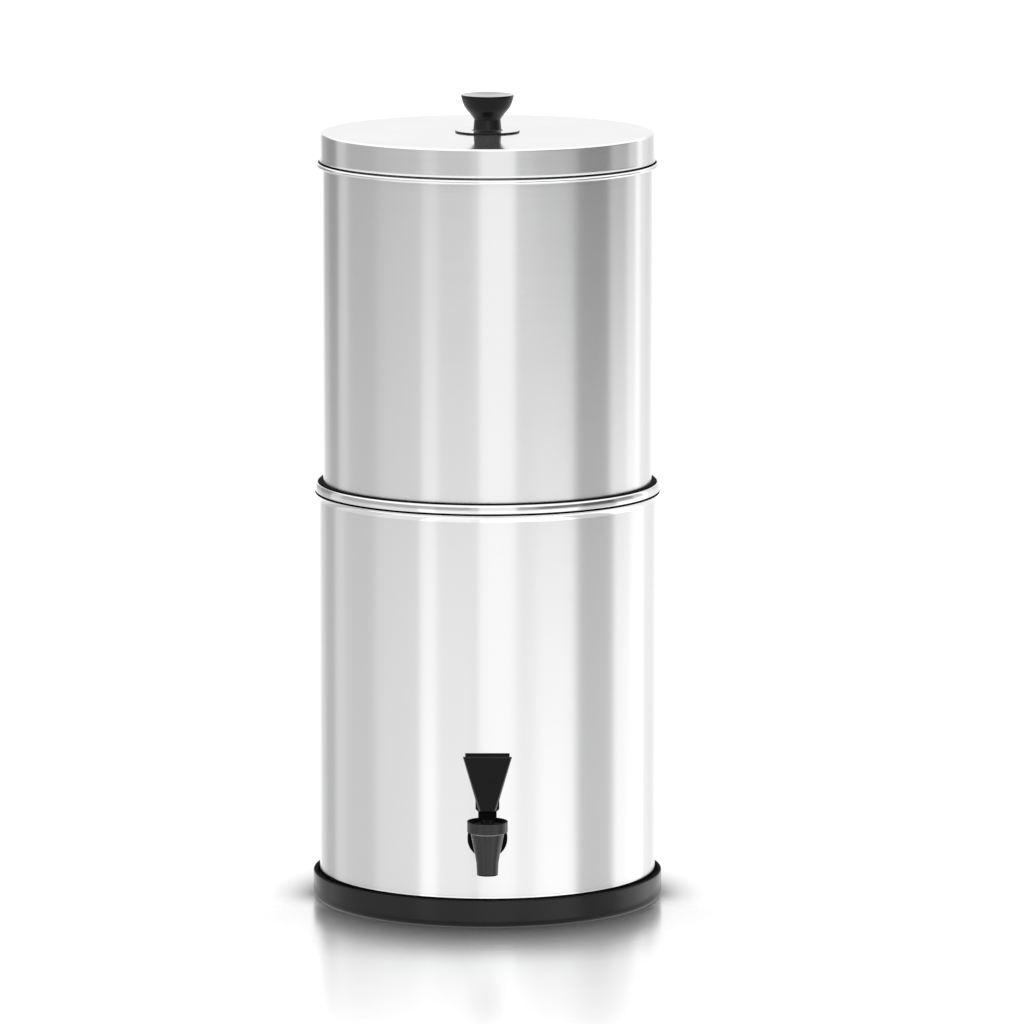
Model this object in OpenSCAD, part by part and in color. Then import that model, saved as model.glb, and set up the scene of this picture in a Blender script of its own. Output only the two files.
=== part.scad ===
// Gravity water filter: two nested steel tanks, a lid with a knob, two filter elements and a lever tap.
// The origin is on the floor at the centre of the base, +Z is up and the tap faces -Y.

/* [Lower tank] */
// Outside diameter of the lower tank's wall
lower_d = 231; // [200:1:260]
// Height of the lower tank, from its standing ring to its rim
lower_h = 286.3; // [240:0.1:340]
// Thickness of the sheet that both tanks and the lid are made of
sheet_t = 0.8; // [0.6:0.1:1.2]
// Outside radius of the corner between a tank's wall and its floor
corner_r = 5; // [3:0.5:9]
// How far the middle of the lower tank's floor is pressed up
floor_rise = 3; // [1.5:0.5:5]
// Width of the ring that the lower tank stands on
stand_w = 9; // [5:1:16]

/* [Rim of the lower tank] */
// How far the rolled rim stands out from the wall
rim_out = 2.8; // [2.2:0.1:4]
// Height of the rolled rim
rim_h = 6.2; // [5:0.1:10]
// Wall left between the rolled rim's outside and the seat for the seal
rim_w = 2.3; // [1.8:0.1:2.8]
// Height of the dark groove under the rolled rim
groove_h = 0.9; // [0.5:0.1:1.5]
// Height of the cove that leads from the wall to the groove
cove_h = 4.5; // [3:0.5:7]

/* [Base tray] */
// Gap between the tank's wall and the tray's lip
base_gap = 1.7; // [0.8:0.1:3]
// Width of the tray's lip
base_lip_w = 2.8; // [2:0.1:5]
// Height of the tray
base_h = 19.3; // [12:0.1:26]
// Thickness of the tray's floor, on which the lower tank stands
base_floor_t = 3; // [2:0.5:5]
// Rounding of the tray's bottom edge
base_edge_r = 4.5; // [2:0.5:6]

/* [Upper tank] */
// Gap all round between the upper tank and the inside of the lower tank
nest_gap = 2.1; // [1.6:0.1:3]
// Height of the upper tank, from its floor to the top of its neck
upper_h = 259; // [232:1:300]
// How deep the upper tank reaches below the top of its seal
nest_depth = 26; // [20:1:40]
// Height of the neck that the lid goes over
neck_h = 13.9; // [10:0.1:15]
// How far the rolled bead under the lid stands out
bead_out = 4.2; // [3:0.1:6]
// Thickness of that rolled bead
bead_t = 3.2; // [2:0.1:4]

/* [Seal between the tanks] */
// How far the seal shows above the lower tank's rim
seal_rise = 0.7; // [0.4:0.1:2]
// Height of the swaged bead that carries the seal
swage_h = 3; // [2:0.5:4]
// How far the swaged bead stands out
swage_out = 1.5; // [1:0.1:1.8]

/* [Lid] */
// Gap between the lid's skirt and the upper tank's neck
lid_fit = 0.6; // [0.4:0.1:1.2]
// Gap between the rolled bead and the hem of the lid's skirt
lid_gap = 0.6; // [0.4:0.1:1.2]
// Height of the lid, from the hem of its skirt to its top
lid_h = 19.8; // [17:0.1:24]
// Rounding of the lid's top edge
lid_edge_r = 1.5; // [1:0.1:4]
// How far the hem of the skirt flares out
hem_out = 0.8; // [0.4:0.1:1.4]
// Height of the flared hem
hem_h = 2; // [1.5:0.1:4]

/* [Knob] */
// Diameter of the knob's rim
knob_d = 36; // [30:0.5:44]
// Height of the knob
knob_h = 24.5; // [21:0.5:30]
// Diameter of the knob's neck, just under the bell
neck_d = 18; // [16:0.5:20]
// Height of the neck, from the flange to the bell
knob_neck_h = 7.5; // [6:0.1:9]
// Diameter of the thin steel flange under the knob
knob_flange_d = 44; // [38:0.5:56]
// Thickness of the flange
knob_flange_t = 1; // [0.8:0.1:2]
// Thread diameter of the knob's screw
knob_screw_d = 5; // [4:0.5:6]
// Depth of the dish in the knob's top
dish_depth = 2; // [1:0.1:3]

/* [Filter elements] */
// Diameter of a filter element
element_d = 70; // [56:1:76]
// Length of a filter element between its end caps
element_l = 178; // [140:1:182]
// Distance between the axes of the two filter elements
element_pitch = 108; // [92:1:112]
// Thread diameter of a filter's stem
stem_d = 12; // [10:0.5:14]
// Length of a stem below the upper tank's floor
stem_l = 24; // [18:1:32]

/* [Tap] */
// Height of the tap's shank above the floor
tap_z = 62.3; // [52:0.1:90]
// Distance from the tank's wall to the axis of the spout
tap_reach = 39; // [34:0.5:50]
// Diameter of the threaded shank
shank_d = 16; // [14:0.5:18]
// Diameter of the water passage in the shank
passage_d = 7; // [5:0.5:8]
// Length of shank inside the tank
shank_in_l = 18.5; // [16:0.5:26]
// Diameter of the flange against the wall
tap_flange_d = 27; // [24:0.5:32]
// Diameter of the bonnet
bonnet_d = 27.4; // [26.5:0.1:31]
// Height of the bonnet
bonnet_h = 7.5; // [7:0.1:12]
// Depth of the dish in the bonnet's top
bonnet_dish = 3; // [2.5:0.1:3.5]
// Diameter of the top of the tap's cone
cone_d = 22.6; // [21.6:0.1:24]
// Outside diameter of the spout's mouth
spout_d = 14.2; // [12:0.1:15]
// Diameter of the spout's bore
spout_bore_d = 9.2; // [7:0.1:9.6]
// Length of the spout below the shank's axis
spout_drop = 18.4; // [17:0.1:30]

/* [Lever and valve] */
// Furthest tilt of the lever, in degrees
lever_tilt = 35; // [20:1:38]
// Radius of the circle that the lever's foot is unrolled from
cam_r = 5.5; // [4.5:0.1:6]
// Height of the lever's pivot over the flat of its foot
foot_h = 3.5; // [3:0.1:4.5]
// Width of the paddle's top
paddle_top_w = 33; // [26:0.5:38]
// Width of the paddle's lower end
paddle_end_w = 11.5; // [9:0.5:15]
// Length of the paddle along its face
paddle_l = 38.3; // [28:0.1:48]
// How far the paddle leans towards the user, in degrees
paddle_lean = 8; // [0:1:12]
// Diameter of the valve's stem
valve_d = 4.8; // [4:0.1:5.2]
// Diameter of the lever's pin
pin_d = 2.4; // [2:0.1:2.6]

/* [Hidden] */
$fn = 96;
arc_steps = 6;
wall_fn = 360;

// Clearances
seat_gap = 0.3;
thread_gap = 0.15;
running_gap = 0.05;
overrun = 1;

// Heights of the tanks and the lid
tank_z = base_floor_t;
rim_z = tank_z + lower_h;
seal_z = rim_z + seal_rise;
upper_z = seal_z - nest_depth;
neck_z = upper_z + upper_h;
bead_z = neck_z - neck_h;
hem_z = bead_z + lid_gap;
lid_z = hem_z + lid_h;
knob_z = lid_z + knob_flange_t;
top_z = knob_z + knob_h;

// Radii of the tanks and the lid
lower_r = lower_d / 2;
lower_in_r = lower_r - sheet_t;
rim_r = lower_r + rim_out;
rim_in_r = rim_r - rim_w;
shoulder_z = rim_z - rim_h - groove_h;
upper_r = lower_in_r - nest_gap;
upper_in_r = upper_r - sheet_t;
lid_in_r = upper_r + lid_fit;
lid_r = lid_in_r + sheet_t;

// The base tray's own sizes
base_in_r = lower_r + base_gap;
base_r = base_in_r + base_lip_w;
lip_round_share = 0.42;
base_lip_r = base_lip_w * lip_round_share;

// The rolled rim's own sizes: its rounded shoulder, the roundings of its edges and the groove below it
rim_shoulder_w_share = 0.62;
rim_shoulder_w = rim_w * rim_shoulder_w_share;
rim_shoulder_h_share = 0.64;
rim_shoulder_h = rim_h * rim_shoulder_h_share;
rim_round_share = 0.2;
rim_edge_r = rim_h * rim_round_share;
rim_inner_round_share = 0.3;
rim_inner_edge_r = rim_w * rim_inner_round_share;
rim_under_angle = -60;
groove_depth = 1;
cove_edge = 0.3;

// The pressed-up middle of the lower tank's floor
kick_slope_share = 1.4;
kick_out_r = lower_r - corner_r - stand_w;
kick_in_r = kick_out_r - floor_rise * kick_slope_share;

// The seal's own sizes
seal_in_r = upper_r + thread_gap;
seal_out_r = rim_in_r - seat_gap;
seal_low_z = shoulder_z + seat_gap;
seal_round = 0.9;
swage_z = (seal_low_z + seal_z) / 2;

// The knob's outline: radii as shares of the rim's radius, heights as shares of the bell's height
bell_shares = [
    [1, 1], [0.993, 0.90], [0.965, 0.78], [0.92, 0.64], [0.86, 0.50], [0.78, 0.38], [0.69, 0.27], [0.59, 0.14]
];
knob_rim_w = 1.4;
knob_edge_r = 0.35;
knob_neck_flare = 0.5;
knob_fillet_r = 1.3;
insert_d = 9;
insert_l = 11;
knurl_step = 0.4;
screw_head_d = 9.6;
screw_head_h = 3.2;
screw_slot_w = 1.4;
screw_slot_h = 1.6;
knob_washer_d = 14;
knob_washer_t = 1;
screw_in_l = 9;

// The filters' own sizes
element_wall = 20;
cap_over = 1.5;
cap_d = element_d + 2 * cap_over;
cap_h = 9;
cap_lap = 3;
cap_round = 2.5;
socket_r = element_d / 2 + thread_gap;
cap_dish = 2;
cap_dish_in = 7;
filter_base_h = 12;
filter_boss_d = 24;
filter_boss_h = 4;
filter_washer_d = 28;
filter_washer_t = 3;
stem_bore_d = 5.5;
wing_hub_d = 22;
wing_nut_h = 10;
wing_span = 40;
wing_t = 3.4;
wing_round = 4;
wing_rise = 3;
floor_top_z = upper_z + sheet_t;
washer_top_z = floor_top_z + filter_washer_t;
boss_top_z = washer_top_z + filter_boss_h;
filter_base_z = boss_top_z + filter_base_h;
element_z = filter_base_z - cap_lap;
element_top_z = element_z + element_l;
filter_cap_z = element_top_z - cap_lap;

// The tap's own sizes
tap_y = -(lower_r + tap_reach);
tap_flange_t = 3.5;
outer_gasket_t = 2;
inner_gasket_t = 3.2;
inner_gasket_d = 25;
gasket_bore_d = shank_d + 2 * running_gap;
tap_nut_w = 24;
tap_nut_t = 7;
tap_nut_collar_t = 1.5;
flange_face_y = -(lower_r + outer_gasket_t);
nut_face_y = -(lower_in_r - inner_gasket_t);
shank_end_y = -(lower_r - shank_in_l);
hole_gap = 0.5;
shank_round = 0.6;
bonnet_rise = 11;
bonnet_low_z = tap_z + bonnet_rise;
bonnet_z = bonnet_low_z + bonnet_h;
dish_z = bonnet_z - bonnet_dish;
disc_t = 1.5;
disc_z = dish_z - disc_t;
bonnet_rim_t = 1.4;
bonnet_edge_r = 0.4;
bonnet_skirt_wall = 2.8;
neck_in_d = 16.4;
spout_z = tap_z - spout_drop;
cone_drop = 2.5;
cone_low_z = tap_z - cone_drop;
cone_low_d = 17.6;
nozzle_taper_l = 7.5;
nozzle_z = cone_low_z - nozzle_taper_l;
nozzle_d = 15;
spout_edge_r = 0.5;
seat_rise = 11.9;
seat_low_z = spout_z + seat_rise;
seat_d = 13.6;
seat_h = (seat_d - spout_bore_d) / 2;
chamber_straight = 8;
chamber_top_z = tap_z + chamber_straight;

// The valve's own sizes. The seat is a cone of this slope, so the cup stands off it by cup_lift in height
seat_angle = 45;
cup_lift = seat_gap / cos(seat_angle);
cup_d = 12.4;
cup_h = 6;
cup_nose_share = 0.86;
cup_socket_l = 3.5;
collar_d = 9;
collar_t = 1.2;
cup_z = seat_low_z + cup_lift;
cup_top_z = cup_z + cup_h;
pin_z = dish_z + seat_gap + foot_h;
eye_t = 4;
eye_w = 4.2;
eye_low_gap = 0.3;
spring_d = 7.6;
wire_d = 0.8;
spring_turns = 5;
turn_steps = 14;
wire_sides = 6;
end_gap = 0.1;

// The lever's own sizes, measured from its pin
fork_w = 9.2;
fork_gap = valve_d + 2 * seat_gap;
yoke_w = 12.4;
yoke_low_h = 2.2;
slot_low_h = 0.5;
slot_top_h = 3;
slot_front = 3;
heel_back = 2.8;
fork_back = 3.3;
fork_front = 4.6;
fork_h = 6.7;
toe_spare = 0.3;
toe_angle = toe_spare / cam_r * 180 / PI;
toe_steps = 8;
toe_top_h = 0.8;
post_w = 16;
post_h = 7;
post_chamfer = 1.6;
post_front = 6;
post_back = 4.2;
paddle_front = 8;
plate_t = 2.4;
plate_bevel = 1.1;
shell_inset = 1.5;
shell_depth = 8.5;
shell_wall = 1.7;
shell_rise = 0.6;
rib_t = 1.4;
rib_depth = 5;

// Points of an arc about (cx, cy), from angle a0 to angle a1
function arc(cx, cy, r, a0, a1, n = arc_steps) =
    [for (i = [0:n]) let (a = a0 + (a1 - a0) * i / n) [cx + r * cos(a), cy + r * sin(a)]];

// Points of a quarter of an ellipse about (cx, cy), from its widest point to its highest
function shoulder(cx, cy, w, h) =
    [for (i = [0:arc_steps]) let (a = 90 * i / arc_steps) [cx + w * cos(a), cy + h * sin(a)]];

// Points of an outward half bead on a wall of radius r, from its lower end to its upper end
function bead(r, z, out, h) =
    [for (i = [0:2 * arc_steps]) let (a = -90 + 90 * i / arc_steps) [r + out * cos(a), z + h / 2 * sin(a)]];

// A solid of revolution about Z from a profile of [radius, height] points
module turned(points) {
    rotate_extrude() polygon(points);
}

// A cylinder along +Y that starts at y
module along_y(d, y, l) {
    translate([0, y, 0]) rotate([-90, 0, 0]) cylinder(d = d, h = l);
}

// Puts its children at both filter positions
module at_filters(sides = [-1, 1]) {
    for (side = sides) translate([side * element_pitch / 2, 0, 0]) children();
}

// Base tray
module base_tray() {
    color([0.09, 0.09, 0.095])
    turned(concat(
        [[0, 0]],
        arc(base_r - base_edge_r, base_edge_r, base_edge_r, -90, 0),
        arc(base_r - base_lip_r, base_h - base_lip_r, base_lip_r, 0, 90),
        arc(base_in_r + base_lip_r, base_h - base_lip_r, base_lip_r, 90, 180),
        [[lower_r + seat_gap, base_floor_t + corner_r], [lower_r + seat_gap, base_floor_t]],
        [[0, base_floor_t]]
    ));
}

// Lower tank
function lower_skin() = concat(
    [[0, tank_z + floor_rise], [kick_in_r, tank_z + floor_rise], [kick_out_r, tank_z]],
    arc(lower_r - corner_r, tank_z + corner_r, corner_r, -90, 0)
);

function lower_rim() = concat(
    [
        for (i = [0:arc_steps]) let (a = 90 * i / arc_steps)
        [lower_r + rim_out * (1 - cos(a)), shoulder_z - cove_edge - cove_h * (1 - sin(a))]
    ],
    [[rim_r, shoulder_z], [rim_r - groove_depth, shoulder_z], [rim_r - groove_depth, shoulder_z + groove_h]],
    arc(rim_r - rim_edge_r, rim_z - rim_h + rim_edge_r, rim_edge_r, rim_under_angle, 0),
    shoulder(rim_r - rim_shoulder_w, rim_z - rim_shoulder_h, rim_shoulder_w, rim_shoulder_h),
    arc(rim_in_r + rim_inner_edge_r, rim_z - rim_inner_edge_r, rim_inner_edge_r, 90, 180),
    [[rim_in_r, shoulder_z], [lower_in_r, shoulder_z]]
);

function lower_lining() = concat(
    arc(lower_r - corner_r, tank_z + corner_r, corner_r - sheet_t, 0, -90),
    [[kick_out_r, tank_z + sheet_t], [kick_in_r, tank_z + floor_rise + sheet_t]],
    [[0, tank_z + floor_rise + sheet_t]]
);

module lower_tank() {
    color([0.80, 0.80, 0.81])
    difference() {
        turned(concat(lower_skin(), lower_rim(), lower_lining()));
        translate([0, 0, tap_z])
            along_y(shank_d + hole_gap, -(lower_r + overrun), 2 * overrun + sheet_t + outer_gasket_t);
    }
}

// Upper tank
function upper_skin() = concat(
    [[0, upper_z]],
    arc(upper_r - corner_r, upper_z + corner_r, corner_r, -90, 0),
    bead(upper_r, swage_z, swage_out, swage_h),
    [[upper_r, bead_z - bead_t]],
    arc(upper_r + bead_out - bead_t / 2, bead_z - bead_t / 2, bead_t / 2, -90, 90, 2 * arc_steps),
    [[upper_r, bead_z]]
);

function upper_lining() = concat(
    arc(upper_r - sheet_t / 2, neck_z - sheet_t / 2, sheet_t / 2, 0, 180),
    [for (p = bead(upper_in_r, swage_z, swage_out, swage_h - 2 * sheet_t)) [p[0], 2 * swage_z - p[1]]],
    arc(upper_r - corner_r, upper_z + corner_r, corner_r - sheet_t, 0, -90),
    [[0, upper_z + sheet_t]]
);

module upper_tank() {
    color([0.74, 0.74, 0.75])
    difference() {
        turned(concat(upper_skin(), upper_lining()));
        at_filters()
            translate([0, 0, upper_z - overrun])
                cylinder(d = stem_d + hole_gap, h = sheet_t + 2 * overrun);
    }
}

// Seal: a rubber ring that grips the swaged bead and sits on the shoulder inside the lower tank's rim
module chamber_seal() {
    groove = bead(seal_in_r, swage_z, swage_out, swage_h + 2 * thread_gap);
    color([0.03, 0.03, 0.03])
    turned(concat(
        [[seal_in_r, seal_low_z], [seal_out_r, seal_low_z]],
        arc(seal_out_r - seal_round, seal_z - seal_round, seal_round, 0, 90),
        [[seal_in_r, seal_z]],
        [for (p = groove) [p[0], 2 * swage_z - p[1]]]
    ));
}

// Filters
module filter_element() {
    color([0.12, 0.12, 0.12])
    translate([0, 0, element_z])
    difference() {
        cylinder(d = element_d, h = element_l);
        translate([0, 0, -overrun])
            cylinder(d = element_d - 2 * element_wall, h = element_l + 2 * overrun);
    }
}

module filter_cap() {
    cap_r = cap_d / 2;
    color([0.05, 0.05, 0.05])
    translate([0, 0, filter_cap_z])
    turned(concat(
        [[0, cap_lap], [socket_r, cap_lap], [socket_r, 0], [cap_r, 0]],
        arc(cap_r - cap_round, cap_h - cap_round, cap_round, 0, 90),
        [[cap_r - cap_dish_in, cap_h], [cap_r - cap_dish_in - cap_dish, cap_h - cap_dish]],
        [[0, cap_h - cap_dish]]
    ));
}

module filter_base() {
    cap_r = cap_d / 2;
    bore_r = stem_bore_d / 2;
    stem_r = stem_d / 2;
    low_z = upper_z - stem_l;
    color([0.05, 0.05, 0.05])
    turned(concat(
        [[bore_r, low_z], [stem_r - shank_round, low_z], [stem_r, low_z + shank_round]],
        [[stem_r, washer_top_z]],
        [[filter_boss_d / 2, washer_top_z], [filter_boss_d / 2, boss_top_z]],
        arc(cap_r - cap_round, boss_top_z + cap_round, cap_round, -90, 0),
        [[cap_r, filter_base_z], [socket_r, filter_base_z], [socket_r, element_z], [bore_r, element_z]]
    ));
}

module filter_washers() {
    color([0.55, 0.16, 0.12])
    at_filters()
        translate([0, 0, floor_top_z])
            difference() {
                cylinder(d = filter_washer_d, h = filter_washer_t);
                translate([0, 0, -overrun])
                    cylinder(d = stem_d + 2 * thread_gap, h = filter_washer_t + 2 * overrun);
            }
}

// One wing of a wing nut, a plate whose outer lower corner is rounded
module wing(side) {
    mirror([side < 0 ? 1 : 0, 0, 0])
    rotate([90, 0, 0])
    translate([0, 0, -wing_t / 2])
    linear_extrude(wing_t)
    polygon(concat(
        [[wing_hub_d / 4, 0]],
        arc(wing_span / 2 - wing_round, -wing_nut_h - wing_rise + wing_round, wing_round, 0, -90),
        [[wing_hub_d / 4, -wing_nut_h]]
    ));
}

module filter_wing_nuts() {
    color([0.06, 0.06, 0.06])
    at_filters()
        translate([0, 0, upper_z])
            difference() {
                union() {
                    translate([0, 0, -wing_nut_h])
                        cylinder(d = wing_hub_d, h = wing_nut_h);
                    translate([0, 0, -wing_rise])
                        intersection() {
                            union() {
                                wing(1);
                                wing(-1);
                            }
                            translate([0, 0, -stem_l])
                                cylinder(d = wing_span, h = stem_l);
                        }
                }
                translate([0, 0, -stem_l])
                    cylinder(d = stem_d + 2 * thread_gap, h = stem_l + overrun);
            }
}

// Lid
module lid_shell() {
    hem_r = hem_out / 2;
    color([0.77, 0.77, 0.78])
    difference() {
        turned(concat(
            [[lid_in_r, hem_z], [lid_r + hem_out - hem_r, hem_z]],
            arc(lid_r + hem_out - hem_r, hem_z + hem_r, hem_r, -90, 45),
            [[lid_r, hem_z + hem_h]],
            arc(lid_r - lid_edge_r, lid_z - lid_edge_r, lid_edge_r, 0, 90),
            [[0, lid_z], [0, lid_z - sheet_t]],
            arc(lid_r - lid_edge_r, lid_z - lid_edge_r, lid_edge_r - sheet_t, 90, 0)
        ));
        translate([0, 0, lid_z - sheet_t - overrun])
            cylinder(d = knob_screw_d + hole_gap, h = sheet_t + 2 * overrun);
    }
}

module lid_knob() {
    rim_rad = knob_d / 2;
    neck_r = neck_d / 2;
    bell_h = knob_h - knob_neck_h;
    bell_z = knob_z + knob_neck_h;
    bell = [
        for (i = [len(bell_shares) - 1:-1:1])
        [rim_rad * bell_shares[i][0], bell_z + bell_h * bell_shares[i][1]]
    ];
    dish_r = rim_rad - knob_rim_w;
    foot_r = neck_r + knob_neck_flare;
    color([0.07, 0.07, 0.07])
    turned(concat(
        [[insert_d / 2, knob_z], [foot_r + knob_fillet_r, knob_z]],
        arc(foot_r + knob_fillet_r, knob_z + knob_fillet_r, knob_fillet_r, 270, 180),
        [[neck_r, bell_z]],
        bell,
        arc(rim_rad - knob_edge_r, top_z - knob_edge_r, knob_edge_r, 0, 90, 3),
        [for (i = [0:arc_steps]) let (s = 1 - i / arc_steps) [dish_r * s, top_z - dish_depth * (1 - s * s)]],
        [[0, knob_z + insert_l], [insert_d / 2, knob_z + insert_l]]
    ));
}

module knob_flange() {
    color([0.85, 0.85, 0.86])
    translate([0, 0, lid_z])
    difference() {
        cylinder(d = knob_flange_d, h = knob_flange_t);
        translate([0, 0, -overrun])
            cylinder(d = knob_screw_d + hole_gap, h = knob_flange_t + 2 * overrun);
    }
}

// Brass insert moulded into the knob, with a waist that keys it
module knob_insert() {
    out_r = insert_d / 2;
    in_r = knob_screw_d / 2 + running_gap;
    waist = insert_l / 3;
    color([0.80, 0.65, 0.30])
    translate([0, 0, knob_z])
    turned([
        [in_r, 0], [out_r, 0], [out_r, waist], [out_r - knurl_step, waist], [out_r - knurl_step, 2 * waist],
        [out_r, 2 * waist], [out_r, insert_l], [in_r, insert_l]
    ]);
}

module knob_screw() {
    head_z = lid_z - sheet_t - knob_washer_t - screw_head_h;
    head_r = screw_head_d / 2;
    shank_r = knob_screw_d / 2;
    color([0.70, 0.70, 0.72])
    difference() {
        turned(concat(
            [[0, head_z]],
            arc(head_r - screw_head_h / 2, head_z + screw_head_h / 2, screw_head_h / 2, -90, 0),
            [[head_r, head_z + screw_head_h], [shank_r, head_z + screw_head_h]],
            [[shank_r, knob_z + screw_in_l], [0, knob_z + screw_in_l]]
        ));
        translate([-head_r - overrun, -screw_slot_w / 2, head_z - overrun])
            cube([2 * (head_r + overrun), screw_slot_w, screw_slot_h + overrun]);
    }
}

module knob_washer() {
    color([0.70, 0.70, 0.72])
    translate([0, 0, lid_z - sheet_t - knob_washer_t])
    difference() {
        cylinder(d = knob_washer_d, h = knob_washer_t);
        translate([0, 0, -overrun])
            cylinder(d = knob_screw_d + hole_gap, h = knob_washer_t + 2 * overrun);
    }
}

// Tap body: a hollow shank and wall flange joined to the cone and spout, with the valve seat bored inside
module tap_body() {
    cone_r = cone_d / 2;
    mouth_r = spout_d / 2;
    bore_r = spout_bore_d / 2;
    neck_out_r = bonnet_d / 2 - bonnet_skirt_wall - thread_gap;
    color([0.16, 0.16, 0.165])
    difference() {
        union() {
            translate([0, tap_y, 0])
            turned(concat(
                [[0, spout_z], [mouth_r - spout_edge_r, spout_z]],
                arc(mouth_r - spout_edge_r, spout_z + spout_edge_r, spout_edge_r, -90, 0),
                [[nozzle_d / 2, nozzle_z], [cone_low_d / 2, cone_low_z], [cone_r, bonnet_low_z - seat_gap]],
                [[neck_out_r, bonnet_low_z - seat_gap], [neck_out_r, disc_z], [0, disc_z]]
            ));
            translate([0, 0, tap_z]) {
                along_y(shank_d, tap_y, shank_end_y - tap_y - shank_round);
                along_y(shank_d - 2 * shank_round, tap_y, shank_end_y - tap_y);
                along_y(tap_flange_d, flange_face_y - tap_flange_t, tap_flange_t);
            }
        }
        translate([0, tap_y, 0])
        turned([
            [0, spout_z - overrun], [bore_r, spout_z - overrun], [bore_r, seat_low_z],
            [seat_d / 2, seat_low_z + seat_h], [neck_in_d / 2, chamber_top_z],
            [neck_in_d / 2, disc_z + overrun], [0, disc_z + overrun]
        ]);
        translate([0, 0, tap_z])
            along_y(passage_d, tap_y, shank_end_y - tap_y + overrun);
    }
}

// The gaskets follow the curved wall on one side and are flat on the other
module tap_outer_gasket() {
    color([0.04, 0.04, 0.04])
    difference() {
        translate([0, 0, tap_z])
            along_y(tap_flange_d, flange_face_y, 2 * outer_gasket_t);
        cylinder(r = lower_r, h = 2 * tap_z, $fn = wall_fn);
        translate([0, 0, tap_z])
            along_y(gasket_bore_d, flange_face_y - overrun, 2 * outer_gasket_t + 2 * overrun);
    }
}

module tap_inner_gasket() {
    low_y = nut_face_y - 2 * inner_gasket_t;
    color([0.04, 0.04, 0.04])
    difference() {
        intersection() {
            translate([0, 0, tap_z])
                along_y(inner_gasket_d, low_y, 2 * inner_gasket_t);
            cylinder(r = lower_in_r, h = 2 * tap_z, $fn = wall_fn);
        }
        translate([0, 0, tap_z])
            along_y(gasket_bore_d, low_y - overrun, 2 * inner_gasket_t + 2 * overrun);
    }
}

module tap_nut() {
    color([0.12, 0.12, 0.125])
    translate([0, 0, tap_z])
    difference() {
        union() {
            along_y(inner_gasket_d, nut_face_y, tap_nut_collar_t);
            translate([0, nut_face_y, 0])
                rotate([-90, 0, 0])
                    cylinder(d = tap_nut_w / cos(30), h = tap_nut_t, $fn = 6);
        }
        along_y(shank_d + 2 * thread_gap, nut_face_y - overrun, tap_nut_t + 2 * overrun);
    }
}

// Bonnet: a screw cap with a dished top, on whose floor the lever's foot rests
module tap_bonnet() {
    out_r = bonnet_d / 2;
    rim_in = out_r - bonnet_rim_t;
    skirt_in = out_r - bonnet_skirt_wall;
    hole_r = valve_d / 2 + seat_gap;
    color([0.14, 0.14, 0.145])
    translate([0, tap_y, 0])
    turned(concat(
        [[skirt_in, bonnet_low_z]],
        arc(out_r - bonnet_edge_r, bonnet_low_z + bonnet_edge_r, bonnet_edge_r, -90, 0, 3),
        arc(out_r - bonnet_edge_r, bonnet_z - bonnet_edge_r, bonnet_edge_r, 0, 90, 3),
        [[rim_in, bonnet_z], [rim_in, dish_z], [hole_r, dish_z], [hole_r, disc_z], [skirt_in, disc_z]]
    ));
}

// Valve stem: a rod with a spring collar, flattened at its top to an eye for the lever's pin
module valve_stem() {
    rod_r = valve_d / 2;
    rod_z = cup_top_z - cup_socket_l;
    eye_z = dish_z + eye_low_gap;
    color([0.07, 0.07, 0.07])
    translate([0, tap_y, 0])
    difference() {
        union() {
            translate([0, 0, rod_z])
                cylinder(r = rod_r, h = eye_z - rod_z);
            translate([0, 0, cup_top_z])
                cylinder(d = collar_d, h = collar_t);
            intersection() {
                translate([0, 0, eye_z - overrun])
                    cylinder(r = rod_r, h = pin_z - eye_z + overrun + eye_w);
                union() {
                    translate([-eye_t / 2, -eye_w / 2, eye_z - overrun])
                        cube([eye_t, eye_w, pin_z - eye_z + overrun]);
                    translate([-eye_t / 2, 0, pin_z])
                        rotate([0, 90, 0])
                            cylinder(d = eye_w, h = eye_t);
                }
            }
        }
        translate([-eye_t / 2 - overrun, 0, pin_z])
            rotate([0, 90, 0])
                cylinder(d = pin_d + running_gap, h = eye_t + 2 * overrun);
    }
}

// Seat cup: a soft plug on the end of the stem that closes the conical seat
module seat_cup() {
    cup_r = cup_d / 2;
    nose_r = spout_bore_d / 2 * cup_nose_share;
    cone_top = cup_z + cup_r - spout_bore_d / 2;
    color([0.90, 0.90, 0.88])
    translate([0, tap_y, 0])
    turned([
        [0, cup_z - (spout_bore_d / 2 - nose_r)], [nose_r, cup_z - (spout_bore_d / 2 - nose_r)],
        [cup_r, cone_top], [cup_r, cup_top_z], [valve_d / 2, cup_top_z],
        [valve_d / 2, cup_top_z - cup_socket_l], [0, cup_top_z - cup_socket_l]
    ]);
}

// A wire coil whose lowest and highest points lie at 0 and h
module coil(d, wire, h, turns) {
    steps = turns * turn_steps;
    rise = h - wire;
    points = [
        for (i = [0:steps], j = [0:wire_sides - 1])
        let (a = 360 * turns * i / steps, b = 90 + 360 * j / wire_sides, r = d / 2 + wire / 2 * cos(b))
        [r * cos(a), r * sin(a), wire / 2 + rise * i / steps + wire / 2 * sin(b)]
    ];
    sides = [
        for (i = [0:steps - 1], j = [0:wire_sides - 1])
        let (k = (j + 1) % wire_sides, p = i * wire_sides, q = p + wire_sides)
        each [[p + j, p + k, q + k], [p + j, q + k, q + j]]
    ];
    last = steps * wire_sides;
    ends = [for (j = [1:wire_sides - 2]) each [[0, j + 1, j], [last, last + j, last + j + 1]]];
    polyhedron(points, concat(sides, ends));
}

module valve_spring() {
    low_z = cup_top_z + collar_t + end_gap;
    color([0.75, 0.75, 0.76])
    translate([0, tap_y, low_z])
        coil(spring_d, wire_d, disc_z - end_gap - low_z, spring_turns);
}

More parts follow.
